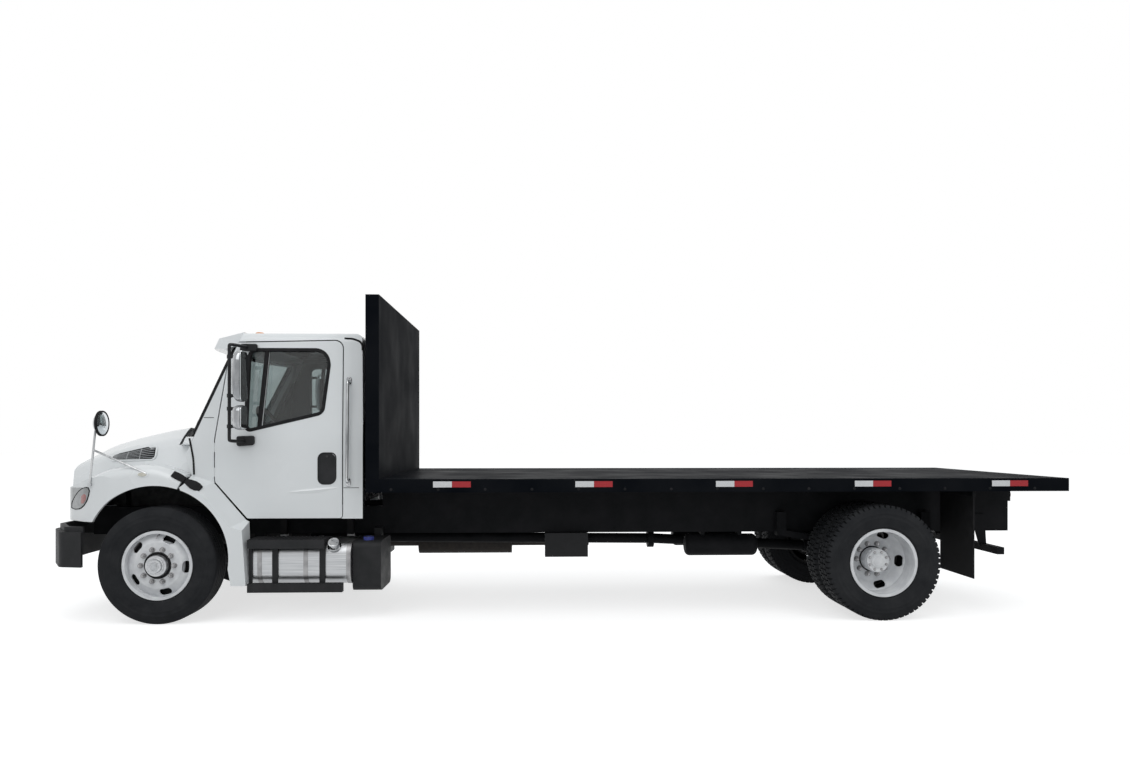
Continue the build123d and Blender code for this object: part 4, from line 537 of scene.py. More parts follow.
def lug_profile(shoulder, inner):
    """Section of a lugged tyre, through its lugs or the gaps between them."""
    half = list(SIDEWALL[:16]) + [(470, 131.5)]
    if shoulder:
        half += [(482, 128.5), (490, 126.0), (496, 123.0), (503, 117.0), (505.5, 112.0), (505.8, 74.0)]
    else:
        half += [(480, 128.0), (484, 122.5), (486, 118.0), (487, 112.0), (488, 106.0), (488.5, 75.5)]
    half += [(489.0, 72.0), (489.0, 63.0)]
    top = 506.0 if inner else 492.0
    half += [(top, 61.0), (top, 9.0), (490.0, 7.0)]
    return half + [(r, -w) for r, w in reversed(half)]


def lug_tyre(y, turn=0.0):
    """Lugged tyre whose middle is at y, its lugs turned on by an angle."""
    put = place("Y", (WHEELBASE, y, TYRE_R))
    rows = []
    for i in range(LUG_COUNT):
        for share, shoulder, inner in LUG_STATES:
            angle = turn + 2 * math.pi * (i + share) / LUG_COUNT
            rows.append([put(r, angle, w) for r, w in lug_profile(shoulder, inner)])
    return loft(rows, True)


make_pair("front_tyre_dressed", Shape(front_tyre()), "tyre", "front_wheel", "front_tyre")
rear = Shape(lug_tyre(REAR_Y - DUAL_HALF), lug_tyre(REAR_Y + DUAL_HALF, 0.04))
make_pair("rear_tyres_dressed", rear, "tyre", "rear_wheels", "rear_tyres")

# Wheel fittings: the radii of the rings of nuts and hub bolts, and how many each has
NUT_RING, FRONT_BOLTS, REAR_BOLTS = (142.9, 10), (64.0, 6), (81.0, 8)


def around(x, radius, count, shift=0.0):
    """Turn, station and height of even points round a wheel's axle."""
    return [(turn, x + radius * math.cos(turn), TYRE_R + radius * math.sin(turn))
            for turn in turns(count, shift)]


def nut_ring(x, face, nuts, studs):
    """Flanged wheel nuts on their studs; face is the disc's outer plane."""
    for turn, cx, cz in around(x, *NUT_RING):
        nuts.add(cap([(24, -1), (24, 4), (21, 6.5)], "Y", (cx, face, cz), 20))
        nuts.add(slab(circle(19.5, 6, turn), 5.5, 29.0, on_y(cx, face, cz), 1.6))
        studs.add(cap([(10.5, 27), (10.5, 39), (9, 40.5), (0, 40.5)], "Y", (cx, face, cz), 14))


nuts, studs = Shape(), Shape()
face = FRONT_Y - 105.0
nut_ring(0.0, face, nuts, studs)
centre = (0.0, face, TYRE_R)
dark = Shape(lathe([(90, -0.5), (90, 3.5), (115, 3.5), (117, -0.5)], "Y", centre, 64))
hub = Shape(
    lathe([(60, 8), (95, 3.0), (95, 8), (93, 12), (91.5, 15), (90.5, 34), (88.8, 38.5), (60, 39.5)],
          "Y", centre, 64),
    cap([(70, 38.0), (70, 43.5), (67, 46), (59.5, 47), (58, 57), (53, 63.5), (38, 64.5), (37, 61.5),
         (0, 61.5)], "Y", centre, 56),
)
for _, cx, cz in around(0.0, *FRONT_BOLTS, 0.5):
    hub.add(slab(circle(7.5, 6), 42.0, 51.0, on_y(cx, face, cz), 1.0))
window = Shape(cap([(36, 60.5), (36, 62.8), (24, 64.2), (0, 64.6)], "Y", centre, 40))
# Valve stem: distance outwards from the tyre's middle, height over the axle
VALVE = ((60, 262), (96, 259), (118, 246), (128, 232))
valve = Shape(tube([(0, FRONT_Y - out, TYRE_R + up) for out, up in VALVE], 5.0, 10, 5))
# Painted shade: a dark ring behind the front disc's hand holes, standing in for the shade seen through them
hole_shade_ring = Shape(lathe([(213, 22), (262, 22), (262, 18), (213, 18)], "Y", (0, FRONT_Y, TYRE_R), 64))
make_pair("front_hole_shade_ring", hole_shade_ring, "rubber", "front_wheel")
make_pair("front_wheel_nuts", nuts.joined(studs), "steel", "front_wheel")
make_pair("front_hub_ring", dark, "rubber", "front_wheel")
make_pair("front_hub_cap", hub, "aluminium", "front_wheel")
make_pair("front_hub_window", window, "lens", "front_wheel")
make_pair("front_valve", valve, "steel", "front_wheel")

nuts, studs = Shape(), Shape()
nut_ring(WHEELBASE, REAR_Y - 14.0, nuts, studs)
centre = (WHEELBASE, REAR_Y, TYRE_R)
dark = Shape(lathe([(105, 13.5), (105, 17.5), (115, 17.5), (117, 13.5)], "Y", centre, 64))
hub = Shape(
    lathe([(80, 122), (107.2, 60), (107.2, 121), (104, 127.5), (101, 129), (101.4, 147), (98, 151.5),
           (80, 151.5)], "Y", centre, 72),
    cap([(62, 149), (60, 155.5), (44, 158), (41, 161), (0, 161.5)], "Y", centre, 56),
)
for turn, cx, cz in around(WHEELBASE, *REAR_BOLTS, 0.5):
    studs.add(cap([(12.5, 150), (12.5, 153), (11, 154)], "Y", (cx, REAR_Y, cz), 16))
    studs.add(slab(circle(10.5, 6, turn), 153, 162, on_y(cx, REAR_Y, cz), 1.0))
make_pair("rear_wheel_nuts", nuts, "steel", "rear_wheels")
make_pair("rear_hub_bolts", studs, "steel", "rear_wheels")
make_pair("rear_hub_ring", dark, "rubber", "rear_wheels")
make_pair("rear_hub_flange", hub, "wheel", "rear_wheels")

# Cab skin, for pieces that lie on it
CAB_HALF, BELT, BOW_R = 1040.0, 1585.0, 2600.0
BEND_LOW, BEND_HIGH, SIDE_SLOPE = 1526.0, 1644.0, 75.0 / 950.0


def skin(z):
    """Half width of the cab's side at a height, with the belt's soft bend."""
    if z < BEND_LOW:
        return CAB_HALF
    if z < BEND_HIGH:
        return CAB_HALF - SIDE_SLOPE * (z - BEND_LOW) ** 2 / (2 * (BEND_HIGH - BEND_LOW))
    return CAB_HALF - SIDE_SLOPE * (z - BELT)


def on_side(x, z, out):
    """Point off the cab's left side."""
    return (x, -skin(z) - out, z)


def bow(y, z):
    """Station of the windshield's outer face."""
    depth = BOW_R - math.sqrt(BOW_R ** 2 - y * y)
    return 50.0 + (z - 1640.0) * LEAN + depth / math.cos(GLASS_LEAN)


def seal(outline, section, put):
    """Closed strip along an outline; section holds distance outwards in the outline's plane and height."""
    total = len(outline)
    sign = -1.0 if anticlockwise(outline) else 1.0
    rows = []
    for i in range(total):
        ahead = Vector(outline[(i + 1) % total]) - Vector(outline[i - 1])
        ahead.normalize()
        out = Vector((-ahead.y, ahead.x)) * sign
        rows.append([put(outline[i][0] + out.x * o, outline[i][1] + out.y * o, h) for o, h in section])
    return loft(rows, True)


def dense(outline, step):
    """Outline with points added so that no side is longer than a step."""
    out = []
    for i in range(len(outline)):
        a, b = Vector(outline[i - 1]), Vector(outline[i])
        count = max(1, int((b - a).length // step))
        out += [tuple(a.lerp(b, k / count)) for k in range(1, count + 1)]
    return out


WINDOW = rounded([(735, 2372), (1400, 2372), (1420, 2244), (1372, 1828), (722, 1672)], [70, 110, 0, 60, 30], 7)
WINDOW_LIP = [(-7, -30), (-7, 1), (-3, 4), (16, 4.5), (23, 2), (23, -3)]
# Bar between the panes
DIVIDER = [(812, 1690), (852, 1700), (904, 2366), (864, 2366)]
door_seal = Shape(seal(dense(WINDOW, 60), WINDOW_LIP, on_side))
door_seal.add(slab(dense(DIVIDER, 80), -40, -1, on_side, 2.0))
make_pair("window_seal", door_seal, "rubber", "cab_door")

SCREEN = rounded([(-800, 1668), (-835, 2392), (835, 2392), (800, 1668)], 50, 7)
SCREEN_LIP = [(-18, -16), (-18, 12), (-8, 27), (14, 30), (28, 18), (32, -3)]
screen_seal = Shape(seal(dense(SCREEN, 60), SCREEN_LIP, lambda y, z, h: (bow(y, z) - h, y, z)))
make("windshield_seal", screen_seal, "rubber", "truck")
REAR_WINDOW = rounded([(-720, 1760), (-720, 2250), (720, 2250), (720, 1760)], 60, 7)
REAR_LIP = [(-10, -60), (-10, 2), (-4, 6), (16, 6), (22, 1), (22, -3)]
rear_seal = Shape(seal(dense(REAR_WINDOW, 80), REAR_LIP,
                       lambda y, z, h: (1735 - 22 * (z - BELT) / 950 + h, y, z)))
make("rear_window_seal", rear_seal, "rubber", "truck")

# Door handle: a dished liner with a paddle
POCKET = rounded([(1346, 1470), (1498, 1470), (1498, 1200), (1346, 1200)], [52, 40, 62, 48], 7)
# Liner's rings: distance inside the pocket's outline, height over the door
LINER = ((-6.0, -1.0), (-6.0, 3.0), (-3.0, 4.5), (4.0, 3.0), (11.0, -13.0), (22.0, -17.5), (60.0, -18.0))
PADDLE = rounded([(1374, 1448), (1472, 1448), (1466, 1252), (1378, 1252)], [34, 30, 40, 40], 6)
handle = Shape(
    loft([[(x, -CAB_HALF - out, z) for x, z in inset(POCKET, amount)] for amount, out in LINER]),
    slab(PADDLE, -16.0, -1.0, lambda u, v, d: (u, -CAB_HALF - d - (v - 1252) * 0.004, v), 4.0),
)
make_pair("door_handle", handle, "plastic", "cab_door")
lock = Shape(cap([(11, 2.5), (11, 5.5), (8, 7), (0, 7)], "Y", (1424, -CAB_HALF, 1440), 20))
make_pair("door_lock", lock, "iron", "cab_door")

# Door crease, a long soft ridge below the handle
rows = []
for share in shares(24):
    x = 1085 + 430 * share
    z = 1128 + 26 * share ** 2 + 14 * share
    height = 7.0 * math.sin(math.pi * (0.06 + 0.88 * share)) + 0.3
    spread = 22.0 * math.sin(math.pi * (0.05 + 0.9 * share)) + 2.0
    section = [(-2.0, -spread), (0.2, -spread), (height * 0.55, -spread * 0.4), (height, spread * 0.15),
               (height * 0.3, spread * 0.6), (0.2, spread), (-2.0, spread)]
    rows.append([(x, -CAB_HALF - out, z + up) for out, up in section])
make_pair("door_crease", Shape(loft(rows)), "white", "cab_door")

# Door mirrors: the upright's station and side, and the heads' middle
MX, MY, HEAD_Y = 660.0, -1262.0, -1304.0
arm = [(720, -1052, 1575), (690, -1160, 1575), (664, -1244, 1580)]
arm += [(MX, MY, z) for z in (1600, 1700, 2000, 2300, 2370)]
arm += [(664, -1246, 2394), (690, -1140, 2398), (720, -985, 2398)]
tubes, shells, glasses = Shape(tube(arm, 14.0, 14, 5)), Shape(), Shape()
for z in (1700, 1850, 1960, 2290):
    tubes.add(lathe([(12, -16), (20, -16), (20, 16), (12, 16)], "Z", (MX, MY, z), 20))
    tubes.add(bar(MX, MX + 66, MY - 14, MY + 14, z - 13, z + 13, 3.0))
# Heads: z middle, half height, half width
for z, tall, wide in ((2121.0, 216.0, 96.0), (1774.0, 105.0, 88.0)):
    shells.add(pillow((MX + 122, HEAD_Y, z), (14.0, wide, tall), 0.62, 22, 44, 72.0))
    glasses.add(slab(oblong(wide - 9, tall - 9, 34, 6), 0.0, 5.0, on_x(MX + 133.0, HEAD_Y, z), 1.5))
bases = Shape(
    slab(rounded([(648, 1528), (800, 1540), (800, 1622), (648, 1618)], [24, 26, 18, 18], 5), 0.6, 30.0,
         on_y(0, -CAB_HALF, 0), 5.0),
    slab(rounded([(652, 2366), (800, 2366), (806, 2428), (664, 2428)], 16, 5), 0.8, 30.0,
         on_y(0, -skin(2366), 0), 5.0),
)
make_pair("mirror_tube", tubes.joined(bases), "plastic", "cab_door", "door_mirror")
make_pair("mirror_shell", shells, "chrome", "cab_door")
make_pair("mirror_pane", glasses, "mirror", "cab_door")

# Hood mirrors: rim and pane on the CAD shell
HOOD_MIRROR = (-489.0, -1072.0, 1728.0)
RIM_PROFILE = [(97, -4), (97, 4), (103, 6), (110.5, 3), (110.5, -16), (107, -16)]
PANE_PROFILE = [(99, 0.5), (99, 1.5), (88, 5), (70, 8.5), (48, 11), (24, 12.4), (0, 12.8)]
rim = Shape(lathe(RIM_PROFILE, "X", HOOD_MIRROR, 56))
pane = Shape(cap(PANE_PROFILE, "X", HOOD_MIRROR, 56))
make("hood_mirror_rims", both(rim), "rubber", "hood_assembly")
make("hood_mirror_panes", both(pane), "mirror", "hood_assembly")

# Grab handle ends
HANDLE_X = 1606.0
ends = Shape()
for z, y in ((1215.0, -CAB_HALF - 0.6), (2105.0, -skin(2105) - 1.0)):
    ends.add(slab(oblong(20, 34, 15, 5), 0.0, 12.0, on_y(HANDLE_X, y, z), 3.0))
    for shift in (-22.0, 22.0):
        ends.add(cap([(7, 11.5), (7, 15), (4, 17), (0, 17)], "Y", (HANDLE_X, y, z + shift), 14))
make("grab_handle_feet", both(ends), "chrome", "truck")

# Reflective tape on the bed's rails and end: where each strip starts, along and across
SIDE_TAPES, END_TAPES = (2368.0, 3590.0, 4812.0, 6034.0, 7255.0), (-1150.0, -540.0)
TAPE_LOW, TAPE_HIGH, RAIL_Y, BED_END = 1178.0, 1229.0, -1219.0, 7947.0
red, white = Shape(), Shape()


def tape(start, length, put):
    """White length and then a red one, a millimetre apart."""
    for piece, low in ((white, start), (red, start + length + 1.0)):
        high = low + length
        outline = [(low, TAPE_LOW), (high, TAPE_LOW), (high, TAPE_HIGH), (low, TAPE_HIGH)]
        piece.add(slab(outline, -0.2, 1.2, put, 0.3))


for x in SIDE_TAPES:
    tape(x, 161.0, on_y(0, RAIL_Y, 0))
for y in END_TAPES:
    tape(y, 150.0, on_x(BED_END))
make("tape_red", both(red), "tape_red", "truck")
make("tape_white", both(white), "tape_white", "truck")

# Bolts along the rails
bolts = Shape()
for x in range(2010, 7900, 402):
    bolts.add(cap([(13, -1), (13, 2.5), (10, 4), (0, 5.5)], "Y", (x, RAIL_Y, 1160), 14))
make("rail_bolts", both(bolts), "frame", "truck")

# Pieces that lie on the body's curved skin, found by casting a ray inwards from the left
SKIN_NODES = ("hood", "quarter_fenders", "cab_shell", "door_left", "headlamps")


def skin_tree(names):
    """Search tree over some CAD nodes, in the part's frame."""
    verts, faces = [], []
    for name in names:
        node = NODES[name]
        base = len(verts)
        verts += [node.matrix_world @ v.co for v in node.data.vertices]
        faces += [tuple(base + i for i in polygon.vertices) for polygon in node.data.polygons]
    return BVHTree.FromPolygons(verts, faces)


SKIN = skin_tree(SKIN_NODES)
HOOD_SKIN = skin_tree(("hood",))


def cast(x, z):
    """Point and normal where a ray from the left meets the body's skin."""
    return SKIN.ray_cast(at(x, -2000, z), Vector((0, 1, 0)))[:2]


def measured(spot):
    """Millimetres behind the front axle from a point in the part's frame."""
    return ((spot.x - AXLE_X) * 1000.0, spot.y * 1000.0, spot.z * 1000.0)


def on_skin(x, z, lift):
    """Point over the body's left side, raised along the skin's normal."""
    spot, normal = cast(x, z)
    if spot is None:
        raise ValueError(f"no skin at {x:.0f}, {z:.0f}")
    if normal.y > 0:
        normal = -normal
    return measured(spot + normal * (lift / 1000.0))


def near_skin(x, y, z):
    """Nearest point of the body's skin."""
    return measured(SKIN.find_nearest(at(x, y, z))[0])


def fitted(x_low, x_high, z_low, z_high, y_low, y_high):
    """Smooth second-order sheet through the skin's points in a box, for places where the skin is cut out."""
    rows, heights = [], []
    for i in range(41):
        for k in range(21):
            x, z = x_low + (x_high - x_low) * i / 40, z_low + (z_high - z_low) * k / 20
            spot = cast(x, z)[0]
            if spot and y_low < spot.y * 1000.0 < y_high:
                rows.append((1.0, x, z, x * x, x * z, z * z))
                heights.append(spot.y * 1000.0)
    a, b, c, d, e, f = numpy.linalg.lstsq(numpy.array(rows), numpy.array(heights), rcond=None)[0]

    def put(x, z, lift):
        y = a + b * x + c * z + d * x * x + e * x * z + f * z * z
        normal = Vector((b + 2 * d * x + e * z, -1.0, c + e * x + 2 * f * z)).normalized()
        return (x + normal.x * lift, y + normal.y * lift, z + normal.z * lift)

    return put


def plaque(outline, lift, edge=3.0, rings=5, sunk=3.0, put=on_skin):
    """Thin raised piece that follows the skin inside an outline of x and z."""
    outline = dense(outline, 24.0)
    middle = sum((Vector(p) for p in outline), Vector((0, 0))) / len(outline)
    rows = [[put(x, z, -sunk) for x, z in outline], [put(x, z, lift * 0.5) for x, z in outline]]
    span = max((Vector(p) - middle).length for p in outline)
    for i in range(rings):
        share = max(0.02, (1.0 - edge / span) * (1.0 - i / (rings - 0.8)))
        rows.append([put(*(middle + (Vector(p) - middle) * share), lift) for p in outline])
    return loft(rows)


def ribbon(points, lift, radius, put):
    """Round strip laid along points of x and z."""
    return tube([put(x, z, lift) for x, z in points], radius, 8)


def along(a, b, share):
    """Point at a share of the way between two points."""
    return (a[0] + (b[0] - a[0]) * share, a[1] + (b[1] - a[1]) * share)


# Hood vent: dark field, pale rim, slats and two ribs; corners of x and z
VENT_FRONT_LOW, VENT_FRONT_HIGH = (-586, 1398), (-566, 1443)
VENT_REAR_LOW, VENT_REAR_HIGH = (-128, 1412), (-142, 1540)
VENT = rounded([VENT_FRONT_LOW, VENT_FRONT_HIGH, VENT_REAR_HIGH, VENT_REAR_LOW], [18, 22, 34, 42], 6)
vent_sheet = fitted(-650.0, -70.0, 1360.0, 1580.0, -1000.0, -640.0)
field = Shape(plaque(VENT, 1.5, 2.0, 6, 3.0, vent_sheet))
make("hood_vent_field", both(field), "rubber", "hood_assembly")
slats = Shape()
for i in range(1, 7):
    share = i / 7.0
    front = along(VENT_FRONT_LOW, VENT_FRONT_HIGH, share)
    back = along(VENT_REAR_LOW, VENT_REAR_HIGH, share)
    start, end = along(front, back, 0.03), along(front, back, 0.965)
    slats.add(ribbon([along(start, end, k) for k in shares(14)], 3.0, 2.2 + 1.6 * share, vent_sheet))
for share in (0.36, 0.66):
    low, high = along(VENT_FRONT_LOW, VENT_REAR_LOW, share), along(VENT_FRONT_HIGH, VENT_REAR_HIGH, share)
    slats.add(ribbon([along(low, high, k) for k in shares(6)], 3.5, 3.4, vent_sheet))
make("hood_vent_slats", both(slats), "vent", "hood_assembly")
rim = Shape(seal(dense(VENT, 30.0), [(-5, -2), (-4, 4.5), (2, 6.0), (8, 4.0), (10, -2)], vent_sheet))
make("hood_vent_rim", both(rim), "white", "hood_assembly")

# Headlamp lens with its reflector, on the CAD lamp
LAMP = [(-806, 992), (-800, 1040), (-745, 1103), (-700, 1140), (-651, 1166), (-600, 1179), (-577, 1176),
        (-564, 1150), (-575, 1105), (-593, 1062), (-625, 1024), (-660, 1002), (-698, 990), (-750, 984)]
make("headlamp_lens", both(Shape(plaque(LAMP, 4.0, 4.0, 6))), "smoke", "hood_assembly")
GLOW = rounded([(-668, 1034), (-660, 1104), (-622, 1124), (-596, 1112), (-604, 1066), (-632, 1036)], 10, 3)
make("headlamp_reflector", both(Shape(plaque(GLOW, 5.5, 3.0, 5))), "reflector", "hood_assembly")
lamp_rim = Shape(seal(dense(LAMP, 30.0), [(-3, -2), (-3, 5.0), (1, 6.0), (4, 5.0), (5, -2)], on_skin))
make("headlamp_rim", both(lamp_rim), "rubber", "hood_assembly")

# Oval marker lamp on the fender: its middle, its half sizes, and its lens's share of them
MARKER_X, MARKER_Z = -97, 1291
OVAL = [(52 * u, 25 * v) for u, v in circle(1.0, 36)]
rim = plaque([(MARKER_X + u, MARKER_Z + v) for u, v in OVAL], 4.0, 2.0, 4)
make("marker_lamp_rim", both(Shape(rim)), "white", "hood_assembly")
lens = plaque([(MARKER_X + 0.72 * u, MARKER_Z + 0.66 * v) for u, v in OVAL], 9.0, 4.0, 5)
make("marker_lamp", both(Shape(lens)), "pale_lens", "hood_assembly")

# Hood latch: catch on the hood, rubber strap on the quarter panel
LATCH_Y = -1158.0


def strap(first, last, y, tilt, widths, lifts):
    """Flat tapered strap beside the plane y, leaning in by a tilt; widths and lifts run from end to end."""
    ahead = (Vector(last) - Vector(first)).normalized()
    across = Vector((-ahead.y, ahead.x))
    rows = []
    for share in shares(16):
        slot = share * (len(widths) - 1)
        i = min(int(slot), len(widths) - 2)
        wide = widths[i] + (widths[i + 1] - widths[i]) * (slot - i)
        lift = lifts[i] + (lifts[i + 1] - lifts[i]) * (slot - i)
        x, z = along(first, last, share)
        ring = []
        for turn in turns(12):
            reach, out = wide * drawn_out(math.cos(turn), 0.5), lift + 10.0 * drawn_out(math.sin(turn), 0.5)
            ring.append((x + across.x * reach, y + tilt * across.y * reach - out, z + across.y * reach))
        rows.append(ring)
    return loft(rows)


catch = Shape(strap((150, 1298), (250, 1243), LATCH_Y, 0.6, [25, 28, 28, 23], [12, 12, 12, 12]))
make("hood_catch", both(catch), "rubber", "hood_assembly")
holder = Shape(strap((258, 1238), (386, 1166), LATCH_Y, 0.8, [18, 28, 35, 33, 21], [13, 13, 12, 11, 8]))
make("hood_strap", both(holder), "rubber", "truck")

# Seal between hood and cab side
SEAL_LINE = [(236, -1041, 1600), (256, -1042, 1500), (269, -1042, 1418), (274, -1042, 1340),
             (276, -1042, 1284)]
make("cowl_seal", both(Shape(tube(SEAL_LINE, 8.0, 10, 5))), "rubber", "truck")

# Cowl at the windshield's foot: it carries the hood's line on to the glass
COWL_FOOT, COWL_LOW, COWL_HIGH = 1543.0, 1552.0, 1662.0


def hood_height(x, y):
    """Height of the hood's top, or nothing beside the hood."""
    spot = HOOD_SKIN.ray_cast(at(x, y, 2000), Vector((0, 0, -1)))[0]
    return spot.z * 1000.0 if spot else 0.0


def cowl_row(y, drop, near, far):
    """Section of the cowl, a drop below the hood and between two distances ahead of the glass."""
    top = max(COWL_LOW, min(COWL_HIGH, hood_height(bow(y, 1600) - 96.0, y) - drop))
    x0, x1 = bow(y, COWL_FOOT), bow(y, top)
    foot = [(x0 - far, y, COWL_FOOT), (x0 - near, y, COWL_FOOT)]
    return foot + [(x1 - near, y, top), (x1 - far + 3.0, y, top - 1.0)]


corner = Shape(loft([cowl_row(-960.0 + 10.0 * i, 1.0, 4.0, 74.0) for i in range(19)]))
make("cowl_corners", both(corner), "white", "truck", 50.0)
cowl = Shape(loft([cowl_row(-778.0 + 38.9 * i, 14.0, 26.0, 74.0) for i in range(41)]))
make("cowl_panel", cowl, "plastic", "truck", 50.0)

# Wipers: sides of their pivots and the blades' length
PIVOTS, BLADE = (-560.0, 110.0), 560.0
wipers = Shape()
for pivot in PIVOTS:
    foot_x = bow(pivot, 1668.0) - 46
    wipers.add(cap([(20, -6), (20, 10), (14, 18), (0, 19)], "Z", (foot_x, pivot, 1646), 20))
    line = []
    for share in shares(8):
        y, z = pivot + BLADE * share, 1676.0 + 26.0 * share
        line.append((bow(y, z) - 24.0, y, z))
    wipers.add(tube([(foot_x, pivot, 1660)] + line[1:6], 6.0, 8, 3))
    wipers.add(tube([(x + 6.0, y, z + 8.0) for x, y, z in line], 7.0, 8))
make("wipers", wipers, "plastic", "truck")

# Thin seams pressed in the cab's panels: start and end of x and z
seams = Shape()
for first, last in (((352, 1780), (440, 1780)), ((1566, 1166), (1700, 1166))):
    seams.add(tube([on_skin(*along(first, last, k), 0.6) for k in shares(6)], 2.2, 8))
make("panel_seams", both(seams), "rubber", "truck")

# Rubber over the roof's rear corner
CORNER = ((1557, 2497), (1620, 2490), (1669, 2472), (1700, 2450), (1718, 2420), (1724, 2380))
roof = Shape(tube([near_skin(x, -skin(z) - 20, z) for x, z in CORNER], 9.0, 10, 4))
make("roof_corner_rubber", both(roof), "rubber", "truck")


# Tanks and steps
def aimed(profile, centre, direction, segments=40):
    """Round form whose axis points along a direction; the profile runs from its rim to the axis."""
    turn = Vector((0, 0, 1)).rotation_difference(Vector(direction)).to_matrix()
    rows = []
    for r, w in profile:
        ring = [Vector((u, v, w)) for u, v in circle(max(r, 0.02), segments)]
        rows.append([tuple(Vector(centre) + turn @ point) for point in ring])
    return loft(rows)


# Filler cap, square to the tank's rounded upper edge
FILLER_X, TANK_SIDE, TANK_HIGH, TANK_ROUND = 1500, -1120, 690, 110
SLANT = math.sqrt(0.5)
OUTWARDS = (0, -SLANT, SLANT)
edge_y = TANK_SIDE + TANK_ROUND - TANK_ROUND * SLANT
edge_z = TANK_HIGH - TANK_ROUND + TANK_ROUND * SLANT
filler = Shape(aimed([(58, -6), (58, 6), (52, 12), (49.5, 14), (49.5, 56), (46, 63.5), (30, 65), (0, 65.5)],
                     (FILLER_X, edge_y, edge_z), OUTWARDS, 48))
for u, v in circle(30.0, 3):
    spot = (FILLER_X + u, edge_y + SLANT * v, edge_z + SLANT * v)
    filler.add(aimed([(9, 60), (9, 70), (6, 72), (0, 72)], spot, OUTWARDS, 14))
make("filler_cap", filler, "chrome", "truck")

# Fluid tank's cap with ribs round its side
CAP_X, CAP_Y, CAP_Z, CAP_R = 1769.5, -960.0, 700.0, 42.0
blue = Shape(cap([(CAP_R, -4), (CAP_R, 27), (38, 33), (0, 36)], "Z", (CAP_X, CAP_Y, CAP_Z), 36))
for u, v in circle(CAP_R, 18):
    blue.add(cap([(4, -2), (4, 27), (2, 30), (0, 30)], "Z", (CAP_X + u, CAP_Y + v, CAP_Z), 8))
make("fluid_cap", blue, "blue", "truck")

# Grip on the steps: rear end, top and inner edge of each
treads = Shape()
for rear_x, top, inner in ((1585.0, 352.0, -1128.0), (1430.0, 728.0, -930.0)):
    lane = -1174.0
    while lane < inner:
        x = 790.0
        while x < rear_x - 30.0:
            treads.add(bar(x, x + 22.0, lane, lane + 6.0, top - 0.5, top + 3.0, 0.8))
            x += 36.0
        lane += 16.0
make("step_grip", both(treads), "plastic", "truck")

# Bands round the tank: its outline, and the section's shift along and growth outwards
TANK_RING = rounded([(-1121, 329), (-1121, 691), (-489, 691), (-489, 329)], 110.5, 8)
BAND = ((0.0, -1.0), (0.0, 2.5), (38.0, 2.5), (38.0, -1.0))
bands = Shape()
for x in (846.0, 1240.0, 1606.0):
    bands.add(loft([[(x + shift, y, z) for y, z in inset(TANK_RING, -grow)] for shift, grow in BAND], True))
make("tank_bands", bands, "steel", "truck")

# Grille's dark backing and the tail's lenses, plate and flap clamps
GRILLE = rounded([(-440, 940), (440, 940), (440, 1258), (-440, 1258)], 20, 4)
make("grille_backing", Shape(slab(GRILLE, 0.0, 4.0, on_x(-955.0), 1.0)), "rubber", "hood_assembly")
TAIL_Z = 1045.0
lenses = Shape()
for y in (-360.0, -240.0, 240.0, 360.0):
    lenses.add(cap([(47, -1), (47, 3), (44, 6), (30, 9), (0, 10.5)], "X", (7897, y, TAIL_Z), 40))
make("tail_lenses", lenses, "red", "truck")
plate = Shape(slab(oblong(152, 76, 12, 4), 0.0, 3.0, on_x(7884.0, 0.0, TAIL_Z), 0.8))
make("blank_plate", plate, "tape_white", "truck")
clamps = Shape(*[bar(x, x + 9, -1157, -557, 1082, 1133, 1.5) for x in (7113, 7132)])
for y in range(-1120, -560, 104):
    clamps.add(cap([(9, 8), (9, 12), (6, 14), (0, 14)], "X", (7132, y, 1108), 12))
make("flap_clamps", both(clamps), "frame", "truck")

# Seats: padded cushions made by blowing up cloth inside the CAD cushions' outline
CUSHION_EDGE, CUSHION_GAP = 34.0, 12.0
PUFF_FRAMES, PUFF_LIMIT = 20, 0.012
CLOTH = {"quality": 4, "mass": 0.3, "tension_stiffness": 12.0, "compression_stiffness": 12.0,
         "bending_stiffness": 2.0, "use_pressure": True, "uniform_pressure_force": 4.0}


def baked(obj):
    """Mesh of an object with its modifiers applied, which takes the place of its own."""
    mesh = bpy.data.meshes.new_from_object(obj.evaluated_get(bpy.context.evaluated_depsgraph_get()))
    obj.modifiers.clear()
    obj.data = mesh
    return mesh


def puffed(obj):
    """Blow an object up as a cloth skin under a little pressure, its movement capped."""
    start = [v.co.copy() for v in obj.data.vertices]
    cloth = obj.modifiers.new("cloth", "CLOTH")
    for name, value in CLOTH.items():
        setattr(cloth.settings, name, value)
    cloth.settings.effector_weights.gravity = 0.0
    cloth.point_cache.frame_start = 1
    cloth.point_cache.frame_end = PUFF_FRAMES
    for number in range(1, PUFF_FRAMES + 1):
        bpy.context.scene.frame_set(number)
    for vertex, before in zip(baked(obj).vertices, start):
        move = vertex.co - before
        if move.length > PUFF_LIMIT:
            move *= PUFF_LIMIT / move.length
        vertex.co = before + move
    bpy.context.scene.frame_set(1)


def padded(name, outline, y_low, y_high):
    """Cushion with a side outline of x and z, between two sides."""
    side = rounded(outline, CUSHION_EDGE, 4)
    form = slab(side, y_low, y_high, lambda u, v, d: (u, d, v), CUSHION_EDGE * 0.6)
    obj = make(name, Shape(form), "cloth", "truck", 60.0)
    remesh = obj.modifiers.new("even", "REMESH")
    remesh.mode = "VOXEL"
    remesh.voxel_size = 0.014
    baked(obj)
    puffed(obj)
    finer = obj.modifiers.new("finer", "SUBSURF")
    finer.levels = 1
    finer.render_levels = 1
    obj.data.shade_smooth()
    return obj


